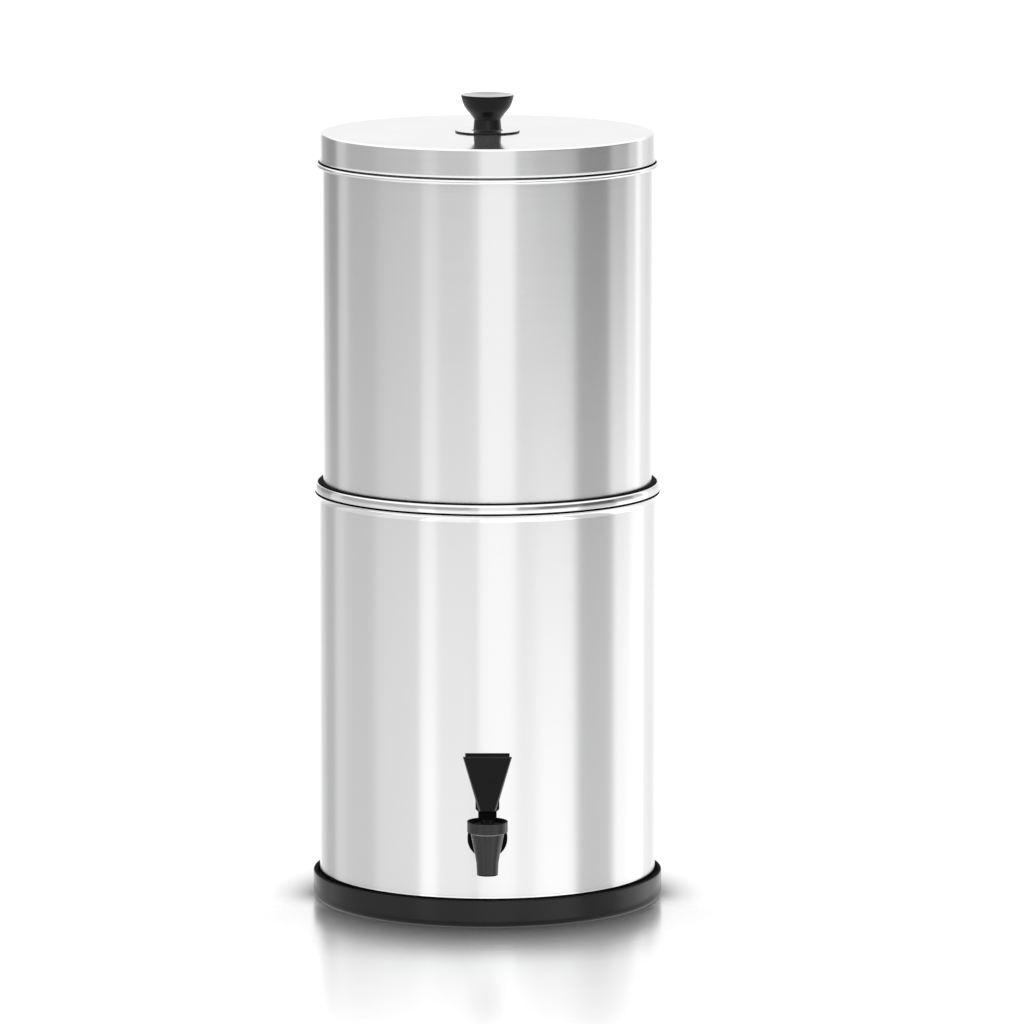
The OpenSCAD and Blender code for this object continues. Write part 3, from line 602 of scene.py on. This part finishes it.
lower = turned("lower_tank_dressed", [
    (0, skin),
    (1, [(wall_r, base_top + FOOT_SHINE)]),
    (0, wall + cove[:1]),
    (1, cove[1:] + arc(rim_r - COVE_EDGE / 2, shoulder_z - COVE_EDGE / 2, COVE_EDGE / 2, -90, 90, 6)),
    # The groove under the rim wears matt black: painted shade in the groove.
    (2, [(rim_r - GROOVE_DEEP, shoulder_z), (rim_r - GROOVE_DEEP, shoulder_z + GROOVE_H)]),
    (1, (
        arc(rim_r - RIM_ROUND, rim_z - RIM_H + RIM_ROUND, RIM_ROUND, RIM_UNDER, 0)
        + shoulder(rim_r - RIM_SHOULDER_W, rim_z - RIM_SHOULDER_H, RIM_SHOULDER_W, RIM_SHOULDER_H)
        + arc(rim_in_r + RIM_INNER_ROUND, rim_z - RIM_INNER_ROUND, RIM_INNER_ROUND, 90, 180)
        + [(rim_in_r, shoulder_z)]
    )),
    (0, lining),
], [FINISH["lower_steel"], FINISH["polished_steel"], FINISH["black_rubber"]], TANK_STEPS)
carve(lower, rod(SHANK_R + HOLE_FIT, (0, -wall_r - CUT, TAP_Z), (0, -wall_r + CUT, TAP_Z)))
wears(lower, "lower_chamber", "lower_steel", "lower_tank")


# ---------- tap ----------

bonnet_r, bonnet_low, bonnet_top, tap_y = size("tap_bonnet")
body_low, body_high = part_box("tap_body")
spout_z, shank_end = body_low.z / MM, body_high.y / MM
disc_z = bonnet_top - BONNET_DISH - BONNET_DISC
cone_z = TAP_Z - CONE_DROP
seat_z = spout_z + SEAT_RISE
tap_at = (0, tap_y)
TAP_FINISHES = [FINISH["tap_black"], FINISH["black_rubber"], FINISH["tap_painted_highlight"]]
# The spout's bottom rounding wears matt black: painted shade under the mouth.
tap = turned("tap_body_dressed", [(1, (
    [(0, spout_z)]
    + arc(SPOUT_R - TAP_EDGE, spout_z + TAP_EDGE, TAP_EDGE, -90, 0, 4) + [(SPOUT_R, spout_z + 2 * TAP_EDGE)]
)), (0, (
    smooth([
        (NOZZLE_R, cone_z - NOZZLE_L), (CONE_LOW_R, cone_z),
        (CONE_LOW_R + CONE_START_OUT, cone_z + CONE_START_UP)
    ], 3)
    + [(CONE_TOP_R, bonnet_low - BASE_FIT - 1.5 * TAP_EDGE)]
# The cone's top edge under the bonnet wears light grey: a painted highlight.
)), (2, arc(CONE_TOP_R - TAP_EDGE, bonnet_low - BASE_FIT - TAP_EDGE, TAP_EDGE, 0, 90, 4)),
    (0, [(NECK_OUT_R, bonnet_low - BASE_FIT), (NECK_OUT_R, disc_z), (0, disc_z)])
], TAP_FINISHES, TAP_STEPS, tap_at)
along = Matrix.Translation((0, 0, TAP_Z * MM)) @ Matrix.Rotation(math.radians(-90), 4, "X")
flange_y = -(wall_r + OUTER_GASKET_T)
shank = bmesh.new()
# The flange on the wall wears matt black: painted shade behind the tap.
lathe(shank, [(0, [(0, tap_y), (SHANK_R, tap_y), (SHANK_R, flange_y - TAP_FLANGE_T)]), (1, (
    arc(TAP_FLANGE_R - TAP_EDGE, flange_y - TAP_FLANGE_T + TAP_EDGE, TAP_EDGE, -90, 0, 4)
    + [(TAP_FLANGE_R, flange_y), (SHANK_R, flange_y)]
)), (0, (
    arc(SHANK_R - TAP_EDGE, shank_end - TAP_EDGE, TAP_EDGE, 0, 90, 4)
    + [(0, shank_end)]
))], BORE_STEPS, along)
carve(tap, solid("shank", shank, TAP_FINISHES), "UNION")
bore = bmesh.new()
lathe(bore, [(0, [
    (0, spout_z - OVERLAP), (SPOUT_BORE_R, spout_z - OVERLAP), (SPOUT_BORE_R, seat_z),
    (SEAT_R, seat_z + SEAT_R - SPOUT_BORE_R), (NECK_IN_R, TAP_Z + CHAMBER_STRAIGHT),
    (NECK_IN_R, disc_z + OVERLAP), (0, disc_z + OVERLAP)
])], BORE_STEPS, Matrix.Translation((0, tap_y * MM, 0)))
carve(tap, solid("bore", bore, []))
carve(tap, rod(PASSAGE_R, (0, tap_y, TAP_Z), (0, shank_end + OVERLAP, TAP_Z)))
wears(tap, "lower_chamber", "tap_black", "tap_body")

rim_in = bonnet_r - BONNET_RIM
skirt_in = bonnet_r - BONNET_SKIRT
dish_z = bonnet_top - BONNET_DISH
bonnet = turned("tap_bonnet_dressed", [(0, (
    [(skirt_in, bonnet_low)]
    + arc(bonnet_r - BONNET_EDGE, bonnet_low + BONNET_EDGE, BONNET_EDGE, -90, 0, 4)
    + arc(bonnet_r - BONNET_EDGE, bonnet_top - BONNET_EDGE, BONNET_EDGE, 0, 20, 2)
)), (1, (
    arc(bonnet_r - BONNET_EDGE, bonnet_top - BONNET_EDGE, BONNET_EDGE, 45, 90, 2)
    + arc(rim_in + TAP_EDGE / 2, bonnet_top - TAP_EDGE / 2, TAP_EDGE / 2, 90, 180, 4)
    + arc(rim_in - TAP_EDGE, dish_z + TAP_EDGE, TAP_EDGE, 0, -90, 4)
    + [(BONNET_HOLE_R, dish_z), (BONNET_HOLE_R, disc_z)]
)), (0, [(skirt_in, disc_z), (skirt_in, bonnet_low)])], TAP_FINISHES, BONNET_STEPS, tap_at)
wears(bonnet, "lower_chamber", "tap_black", "tap_bonnet")


# ---------- lever ----------

def toe_point(turn):
    """A point of the foot's toe, unrolled from a circle about the pin."""
    a = math.radians(turn)
    reach = FOOT_H + CAM_R * a
    return (-reach * math.sin(a) - CAM_R * math.cos(a), -reach * math.cos(a) + CAM_R * math.sin(a))


def paddle_face(low_w, high_w, low, high, depth):
    """Corners of an upright face at a depth: its widths at its low and high edges, and their heights."""
    corners = [(-low_w / 2, low), (low_w / 2, low), (high_w / 2, high), (-high_w / 2, high)]
    return [(x, depth, z) for x, z in corners]


pin_low, pin_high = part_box("lever_pin")
pin_z = (pin_low.z + pin_high.z) / 2 / MM
at_pin = Matrix.Translation((0, tap_y * MM, pin_z * MM))
fork_top, clear = FORK_H + OVERLAP, FOOT_H + OVERLAP
foot = (
    [(FORK_BACK, fork_top), (FORK_BACK, 0), (HEEL_BACK, -FOOT_H)]
    + [toe_point(TOE_TURN * i / 10) for i in range(11)]
    + [(-FORK_FRONT, TOE_TOP), (-FORK_FRONT, fork_top)]
)
fork = bmesh.new()
loft(fork, [[(x, y, z) for y, z in foot] for x in (-FORK_W / 2, FORK_W / 2)], FINE_EDGE, at_pin)
fork = solid("fork", fork, [])
yoke_w, slot_w = YOKE_W / 2, FORK_GAP / 2
yoke = block((-yoke_w, -FORK_FRONT, YOKE_LOW), (yoke_w, FORK_BACK, fork_top), SOFT_EDGE, at_pin)
carve(fork, yoke, "UNION")
carve(fork, block((-slot_w, -PADDLE_FRONT, -clear), (slot_w, PADDLE_FRONT, SLOT_LOW), 0, at_pin))
carve(fork, block((-slot_w, -SLOT_FRONT, -clear), (slot_w, PADDLE_FRONT, SLOT_TOP), 0, at_pin))
carve(fork, rod(PIN_R, (-FORK_W, tap_y, pin_z), (FORK_W, tap_y, pin_z), 32))
lever = bmesh.new()
lever.from_mesh(fork.data)
for face in lever.faces:
    face.material_index = 1
bpy.data.objects.remove(fork)
half, narrow = POST_W / 2, POST_W / 2 - POST_CHAMFER
post = [
    (-narrow, FORK_H), (narrow, FORK_H), (half, FORK_H + POST_CHAMFER), (half, FORK_H + POST_H),
    (-half, FORK_H + POST_H), (-half, FORK_H + POST_CHAMFER),
]
loft(lever, [[(x, y, z) for x, z in post] for y in (-POST_FRONT, POST_BACK)], SOFT_EDGE, at_pin)
leaning = at_pin @ Matrix.Translation((0, -PADDLE_FRONT * MM, FORK_H * MM)) @ Matrix.Rotation(
    math.radians(PADDLE_LEAN), 4, "X"
)
loft(lever, [
    paddle_face(
        PADDLE_END_W - 2 * PLATE_BEVEL, PADDLE_TOP_W - 2 * PLATE_BEVEL, PLATE_BEVEL, PADDLE_L - PLATE_BEVEL, 0
    ),
    paddle_face(PADDLE_END_W, PADDLE_TOP_W, 0, PADDLE_L, PLATE_BEVEL),
    paddle_face(PADDLE_END_W, PADDLE_TOP_W, 0, PADDLE_L, PLATE_T),
], SOFT_EDGE, leaning, slant=2)
shell_from, shell_top = PLATE_T - SHELL_SINK, PADDLE_L + SHELL_RISE
end_w, top_w = PADDLE_END_W - SHELL_INSET, PADDLE_TOP_W - 2 * SHELL_INSET
in_end_w, in_top_w, in_top = end_w - SHELL_WALL, top_w - 2 * SHELL_WALL, shell_top - SHELL_WALL
loft(lever, [
    paddle_face(end_w, top_w, 0, shell_top, shell_from),
    paddle_face(end_w, top_w, 0, shell_top, SHELL_DEPTH),
    paddle_face(in_end_w, in_top_w, POST_H, in_top, SHELL_DEPTH),
    paddle_face(in_end_w, in_top_w, POST_H, in_top, shell_from),
], SOFT_EDGE, leaning, ring=True, finish=1, slant=1)
loft(lever, [
    paddle_face(end_w - OVERLAP, top_w - OVERLAP, OVERLAP, shell_top - OVERLAP, y)
    for y in (shell_from, PLATE_T + OVERLAP)
], BACK_EDGE, leaning)
loft(lever, [
    paddle_face(RIB_T, RIB_T, POST_H, in_top + RIB_REACH, y) for y in (PLATE_T, RIB_DEPTH + OVERLAP)
], FINE_EDGE, leaning)
# The plate's sideways bevels take the grey finish: a painted highlight.
LEVER_FINISHES = [FINISH["lever_black"], FINISH["black_rubber"], FINISH["lever_painted_highlight"]]
lever = solid("tap_lever_dressed", lever, LEVER_FINISHES, LEVER_SHARP)
wears(lever, "tap_lever", "lever_black", "tap_lever")
for made in (lever, tap):
    made.modifiers.new("even_normals", "WEIGHTED_NORMAL").keep_sharp = True


# ---------- valve spring ----------

# It rides on the stem's collar
low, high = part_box("valve_spring")
wire_r, steps = WIRE_R * MM, SPRING_TURNS * TURN_STEPS
coil_r, coil_y = (high[1] - low[1]) / 2 - wire_r, (high[1] + low[1]) / 2
rise = high[2] - low[2] - 2 * wire_r
wire = bmesh.new()
rings = []
for i in range(steps + 1):
    a = 2 * math.pi * SPRING_TURNS * i / steps
    ring = []
    for j in range(WIRE_SIDES):
        b = 2 * math.pi * j / WIRE_SIDES
        r, z = coil_r + wire_r * math.cos(b), low[2] + wire_r + rise * i / steps + wire_r * math.sin(b)
        ring.append(wire.verts.new((r * math.cos(a), coil_y + r * math.sin(a), z)))
    rings.append(ring)
for near, far in zip(rings, rings[1:]):
    for j in range(WIRE_SIDES):
        k = (j + 1) % WIRE_SIDES
        wire.faces.new((near[j], near[k], far[k], far[j]))
wire.faces.new(rings[0])
wire.faces.new(rings[-1])
coil = solid("valve_spring_dressed", wire, [FINISH["spring_steel"]])
wears(coil, "tap_valve", "spring_steel", "valve_spring")
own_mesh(coil)

# ---------- upper chamber ----------

bead_r, upper_z, neck_z, _ = size("upper_tank")
upper_r = bead_r - BEAD_OUT
bead_z = neck_z - NECK_H
seal_r, seal_low, seal_top, _ = size("chamber_seal")
swage_z = (seal_low + seal_top) / 2


def swage(r, height, inward=False):
    """Points of the outward half bead that carries the seal."""
    turns = [math.radians(-90 + 180 * i / 16) for i in range(17)]
    line = [(r + SWAGE_OUT * math.cos(a), swage_z + height / 2 * math.sin(a)) for a in turns]
    return line[::-1] if inward else line


upper = turned("upper_tank_dressed", [
    (0, (
        [(0, upper_z)]
        + arc(upper_r - CORNER, upper_z + CORNER, CORNER, -90, 0)
        + swage(upper_r, SWAGE_H)
        + arc(upper_r + BEAD_FILLET, bead_z - BEAD_T - BEAD_FILLET, BEAD_FILLET, 180, 90, 4)
    )),
    (1, arc(bead_r - BEAD_T / 2, bead_z - BEAD_T / 2, BEAD_T / 2, -90, 80, 20)),
    # The bead's top inside the lid's hem wears matt black: painted shade in the gap under the lid.
    (2, [(bead_r - BEAD_T / 2, bead_z), (upper_r, bead_z)]),
    (0, (
        arc(upper_r - SHEET / 2, neck_z - SHEET / 2, SHEET / 2, 0, 180)
        + swage(upper_r - SHEET, SWAGE_H - 2 * SHEET, True)
        + arc(upper_r - CORNER, upper_z + CORNER, CORNER - SHEET, 0, -90)
        + [(0, upper_z + SHEET)]
    )),
], [FINISH["upper_steel"], FINISH["polished_steel"], FINISH["black_rubber"]], TANK_STEPS)
for element in ("left_filter_element", "right_filter_element"):
    low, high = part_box(element)
    x = (low.x + high.x) / 2 / MM
    carve(upper, rod(STEM_HOLE_R, (x, 0, upper_z - CUT), (x, 0, upper_z + CUT)))
wears(upper, "upper_chamber", "upper_steel", "upper_tank")

seal_in = upper_r + SEAL_FIT
wears(turned("chamber_seal_dressed", [(0, (
    [(seal_in, seal_low), (seal_r, seal_low)]
    + arc(seal_r - SEAL_ROUND, seal_top - SEAL_ROUND, SEAL_ROUND, 0, 90)
    + [(seal_in, seal_top)]
    + swage(seal_in, SWAGE_H + 2 * SEAL_FIT, True)
    + [(seal_in, seal_low)]
))], [FINISH["black_rubber"]], TANK_STEPS), "upper_chamber", "black_rubber", "chamber_seal")


# ---------- lid ----------

hem_r, hem_z, lid_z, _ = size("lid_shell")
lid_r = hem_r - HEM_OUT
curl = HEM_OUT / 2
lid = turned("lid_shell_dressed", [
    # The hem's underside and the start of its curl wear matt black: painted shade in the gap over the bead.
    (2, [(lid_r - SHEET, hem_z), (hem_r - curl, hem_z)] + arc(hem_r - curl, hem_z + curl, curl, -90, 32, 7)),
    (0, arc(hem_r - curl, hem_z + curl, curl, 36, 45, 2)),
    (0, [(lid_r, hem_z + HEM_H)]),
    (0, [(lid_r, lid_z - LID_EDGE)]),
    (1, arc(lid_r - LID_EDGE, lid_z - LID_EDGE, LID_EDGE, 0, 90) + [(0, lid_z)]),
    (0, (
        [(0, lid_z - SHEET)]
        + arc(lid_r - LID_EDGE, lid_z - LID_EDGE, LID_EDGE - SHEET, 90, 0)
        + [(lid_r - SHEET, hem_z)]
    )),
], [FINISH["lid_steel"], FINISH["lid_top"], FINISH["black_rubber"]], TANK_STEPS)
carve(lid, rod(SCREW_HOLE_R, (0, 0, lid_z - CUT), (0, 0, lid_z + CUT)))
wears(lid, "lid", "lid_steel", "lid_shell")

flange_r, flange_z, flange_top, _ = size("knob_flange")
# The steel flange's rounded edge wears the knob's black: painted shade along the flange's edge.
wears(turned("knob_flange_dressed", [
    (0, [(SCREW_HOLE_R, flange_z), (flange_r - FLANGE_EDGE, flange_z)]),
    (1, (
        arc(flange_r - FLANGE_EDGE, flange_z + FLANGE_EDGE, FLANGE_EDGE, -90, 0, 4)
        + arc(flange_r - FLANGE_EDGE, flange_top - FLANGE_EDGE, FLANGE_EDGE, 0, 90, 4)
    )),
    (0, [(SCREW_HOLE_R, flange_top), (SCREW_HOLE_R, flange_z)]),
], [FINISH["polished_steel"], FINISH["knob_black"]], FLANGE_STEPS), "lid", "polished_steel", "knob_flange")

knob_r, knob_z, knob_top, _ = size("lid_knob")
bell_z = knob_z + KNOB_NECK_H
bell_h = knob_top - bell_z
foot_r = KNOB_NECK_R + KNOB_FLARE
bell = [(KNOB_NECK_R, bell_z)] + [(knob_r * r, bell_z + bell_h * h) for r, h in KNOB_BELL]
bell[-1] = (knob_r, knob_top - KNOB_EDGE)
dish_r = knob_r - KNOB_RIM_W
dish = [
    (dish_r * (1 - i / DISH_STEPS), knob_top - KNOB_DISH * (1 - (1 - i / DISH_STEPS) ** 2))
    for i in range(DISH_STEPS)
]
wears(turned("lid_knob_dressed", [(2, (
    [(INSERT_R, knob_z)]
    + arc(foot_r + KNOB_FILLET, knob_z + KNOB_FILLET, KNOB_FILLET, 270, 180)
    + [(KNOB_NECK_R, bell_z - KNOB_EDGE)]
)), (0, smooth(bell, 4)), (1, (
    arc(knob_r - KNOB_EDGE, knob_top - KNOB_EDGE, KNOB_EDGE, 0, 90, 5)[1:]
    + dish + [(0, knob_top - KNOB_DISH)]
)), (0, [(0, knob_z + INSERT_L), (INSERT_R, knob_z + INSERT_L), (INSERT_R, knob_z)])
], [FINISH["knob_black"], FINISH["knob_gloss"], FINISH["knob_neck"]], KNOB_STEPS), "lid", "knob_black", "lid_knob")


# ---------- stage ----------

# Light of the room, and of the wide soft light above
ROOM = 0.66
SUN, SUN_SPREAD, SUN_LEAN = 2.6, 100, 12
# The light tent shows only in reflections. Its sizes are in metres.
TENT_R = 1.6
TENT_LOW, TENT_HIGH = -1.4, 2.4
TENT_COLUMNS, TENT_ROWS = 360, 76
FLOOR_TO, HORIZON_FROM = 0.0, 0.4
HORIZON_TO, SKY_FROM = 0.9, 1.1
SKY = 1.25
BACKDROP_R, BACKDROP_GLOW = 60, 1.2
FLOOR_HALF, FLOOR_WHITE, FLOOR_ROUGH = 40, 0.92, 0.22
# How much the floor mirrors at distances from the object's axis, in metres
FLOOR_MIRROR = [
    (0.12, 0.935), (0.131, 0.91), (0.15, 0.87), (0.17, 0.81), (0.20, 0.725), (0.22, 0.64), (0.245, 0.555),
    (0.28, 0.52), (0.33, 0.50), (0.45, 0.42), (0.90, 0.10)
]
# It mirrors in front of the object only: y over distance, where that starts and where it is full
MIRROR_FROM, MIRROR_TO = 0.05, -0.45
# Painted soft contact shadow: how light the floor's colour is round the base
FLOOR_PAINTED_SHADOW = [
    (0.12, 0.42), (0.124, 0.53), (0.13, 0.68), (0.137, 0.79), (0.147, 0.88), (0.16, 0.95), (0.18, 1.0)
]
# A dim glowing disc just under the floor, seen only in reflections: painted shade of the floor round the base,
# which the base's underside reflects
CONTACT_R, CONTACT_DROP, CONTACT_GLOW = 0.14, 0.001, 0.6

LENS, SENSOR_W, CLIP_END = 303.2, 36, 200
SHIFT_X, SHIFT_Y = 0.024, 0.0007
CAMERA_AT, LOOK_AT = (0, -5.851, 1.153), (0, 0, 0.26675)

# Soft panels of the light tent: the azimuth at which each stands, half its width and the softness of
# its edges, in degrees, then its brightness at the horizon and near the floor. Azimuth 0 is in front,
# 90 to the right. A later panel covers the ones before it.
PANELS = [
    (-80, 78, 6, 0.51, 0.94),
    (-166, 10, 6, 0.80, 1.20),
    (-138, 14, 8, 0.33, 0.60),
    (-150, 7, 6, 0.46, 0.80),
    (-116.5, 7.5, 5, 0.73, 0.85),
    (-96, 15, 8, 0.48, 0.76),
    (-38, 7.5, 2, 0.56, 1.36),
    (-22, 12, 3, 0.475, 1.11),
    (-8, 3, 2, 0.62, 1.02),
    (7, 12.5, 1.5, 1.00, 1.25),
    (27, 8, 4, 0.43, 1.18),
    (47.5, 15, 10, 0.20, 1.40),
    (77.5, 15, 8, 0.12, 0.75),
    (103, 9, 6, 0.32, 1.33),
    (119, 8, 6, 0.68, 1.45),
    (128, 5, 4, 1.28, 1.45),
    (137, 6, 4, 0.96, 1.08),
    (151, 8, 4, 0.83, 1.01),
    (180, 22, 6, 0.97, 1.10),
]


def ease(x):
    """A smooth step from 0 to 1."""
    x = min(max(x, 0.0), 1.0)
    return x * x * (3 - 2 * x)


def tent_glow(azimuth, z):
    """The tent's brightness at an azimuth and a height: the floor's, the horizon's, then the sky's."""
    horizon, low_glow = PANELS[0][3:]
    for centre, half_w, soft, high, low in PANELS:
        off = abs((azimuth - centre + 180) % 360 - 180)
        share = ease((half_w + soft / 2 - off) / soft)
        horizon += (high - horizon) * share
        low_glow += (low - low_glow) * share
    glow = low_glow + (horizon - low_glow) * ease((z - FLOOR_TO) / (HORIZON_FROM - FLOOR_TO))
    return glow + (SKY - glow) * ease((z - HORIZON_TO) / (SKY_FROM - HORIZON_TO))


def emission(name, strength=None):
    """White light of one strength, or of the mesh's own glow."""
    made = bpy.data.materials.new(name)
    made.use_nodes = True
    tree = made.node_tree
    tree.nodes.remove(tree.nodes["Principled BSDF"])
    light = add(tree, "Emission", Color=(1, 1, 1, 1))
    if strength is None:
        own = add(tree, "Attribute", {"attribute_name": "glow"}).outputs["Fac"]
        tree.links.new(own, light.inputs["Strength"])
    else:
        light.inputs["Strength"].default_value = strength
    tree.links.new(light.outputs[0], tree.nodes["Material Output"].inputs["Surface"])
    made.cycles.emission_sampling = "NONE"
    return made


def by_distance(tree, away, stops):
    """A smooth ramp of grey over the distance from the object's axis."""
    ramp = add(tree, "ValToRGB", Fac=away)
    ramp.color_ramp.interpolation = "B_SPLINE"
    for stop in stops[1:-1]:
        ramp.color_ramp.elements.new(stop[0])
    for stop, (distance, share) in zip(ramp.color_ramp.elements, stops):
        stop.position = distance
        stop.color = (share, share, share, 1)
    return ramp.outputs["Color"]


def hide(made, *rays):
    """Hides the object from these kinds of ray."""
    for ray in rays:
        setattr(made, "visible_" + ray, False)


LIT_BY_NOTHING = ("diffuse", "shadow", "transmission", "volume_scatter")
tent_bm = bmesh.new()
grid = []
for j in range(TENT_ROWS + 1):
    z = TENT_LOW + (TENT_HIGH - TENT_LOW) * j / TENT_ROWS
    turns = [2 * math.pi * i / TENT_COLUMNS for i in range(TENT_COLUMNS)]
    grid.append([tent_bm.verts.new((TENT_R * math.sin(a), -TENT_R * math.cos(a), z)) for a in turns])
for low_row, high_row in zip(grid, grid[1:]):
    for i in range(TENT_COLUMNS):
        k = (i + 1) % TENT_COLUMNS
        tent_bm.faces.new((low_row[i], low_row[k], high_row[k], high_row[i]))
tent = linked("light_tent", tent_bm, [emission("tent_cloth")])
glow = tent.data.attributes.new("glow", "FLOAT", "POINT")
glow.data.foreach_set("value", [
    tent_glow(math.degrees(math.atan2(v.co.x, -v.co.y)), v.co.z) for v in tent.data.vertices
])
hide(tent, "camera", *LIT_BY_NOTHING)

paper, tree, shader, place = start("floor_paper")
away = add(tree, "VectorMath", {"operation": "LENGTH"}, i0=place).outputs["Value"]
ahead = add(tree, "SeparateXYZ", Vector=place).outputs["Y"]
ahead = add(tree, "Math", {"operation": "DIVIDE"}, i0=ahead, i1=away).outputs[0]
ahead = add(
    tree, "MapRange", {"interpolation_type": "SMOOTHSTEP"},
    Value=ahead, From_Min=MIRROR_FROM, From_Max=MIRROR_TO
).outputs["Result"]
mirror = by_distance(tree, away, FLOOR_MIRROR)
mirror = add(tree, "Math", {"operation": "MULTIPLY"}, i0=mirror, i1=ahead).outputs[0]
# The floor's colour round the base is a painted contact shadow.
painted_shadow = by_distance(tree, away, [(distance, share * FLOOR_WHITE) for distance, share in FLOOR_PAINTED_SHADOW])
plain = (FLOOR_WHITE, FLOOR_WHITE, FLOOR_WHITE, 1)
colour = add(tree, "Mix", {"data_type": "RGBA"}, i0=mirror, i6=painted_shadow, i7=plain).outputs[2]
tree.links.new(colour, shader.inputs["Base Color"])
tree.links.new(mirror, shader.inputs["Metallic"])
shader.inputs["Roughness"].default_value = FLOOR_ROUGH
shader.inputs["Specular IOR Level"].default_value = 0.0
floor_bm = bmesh.new()
bmesh.ops.create_grid(floor_bm, x_segments=8, y_segments=8, size=FLOOR_HALF)
floor = linked("floor", floor_bm, [paper])
hide(floor, "glossy")

dome_bm = bmesh.new()
bmesh.ops.create_uvsphere(dome_bm, u_segments=48, v_segments=24, radius=BACKDROP_R)
dome = linked("backdrop", dome_bm, [emission("backdrop_white", BACKDROP_GLOW)])
hide(dome, *LIT_BY_NOTHING)

contact_bm = bmesh.new()
bmesh.ops.create_circle(contact_bm, cap_ends=True, segments=96, radius=CONTACT_R)
contact = linked("contact_shade", contact_bm, [emission("contact_dark", CONTACT_GLOW)])
contact.location.z = -CONTACT_DROP
hide(contact, "camera", *LIT_BY_NOTHING)
# The wall shows no reflection of the tap, as in the photo
for made in (lever, tap, bonnet):
    hide(made, "glossy")

world = bpy.data.worlds.new("room")
world.use_nodes = True
world.node_tree.nodes["Background"].inputs["Color"].default_value = (1, 1, 1, 1)
world.node_tree.nodes["Background"].inputs["Strength"].default_value = ROOM
bpy.context.scene.world = world

sun_data = bpy.data.lights.new("top_light", "SUN")
sun_data.energy = SUN
sun_data.angle = math.radians(SUN_SPREAD)
sun = bpy.data.objects.new("top_light", sun_data)
sun.rotation_euler = (math.radians(SUN_LEAN), 0, 0)
bpy.context.scene.collection.objects.link(sun)

camera_data = bpy.data.cameras.new("photo_camera")
camera_data.lens = LENS
camera_data.sensor_width = SENSOR_W
camera_data.shift_x = SHIFT_X
camera_data.shift_y = SHIFT_Y
camera_data.clip_end = CLIP_END
camera = bpy.data.objects.new("photo_camera", camera_data)
camera.location = CAMERA_AT
camera.rotation_euler = (Vector(LOOK_AT) - camera.location).to_track_quat("-Z", "Y").to_euler()
bpy.context.scene.collection.objects.link(camera)
bpy.context.scene.camera = camera
bpy.context.scene.view_settings.view_transform = "Standard"
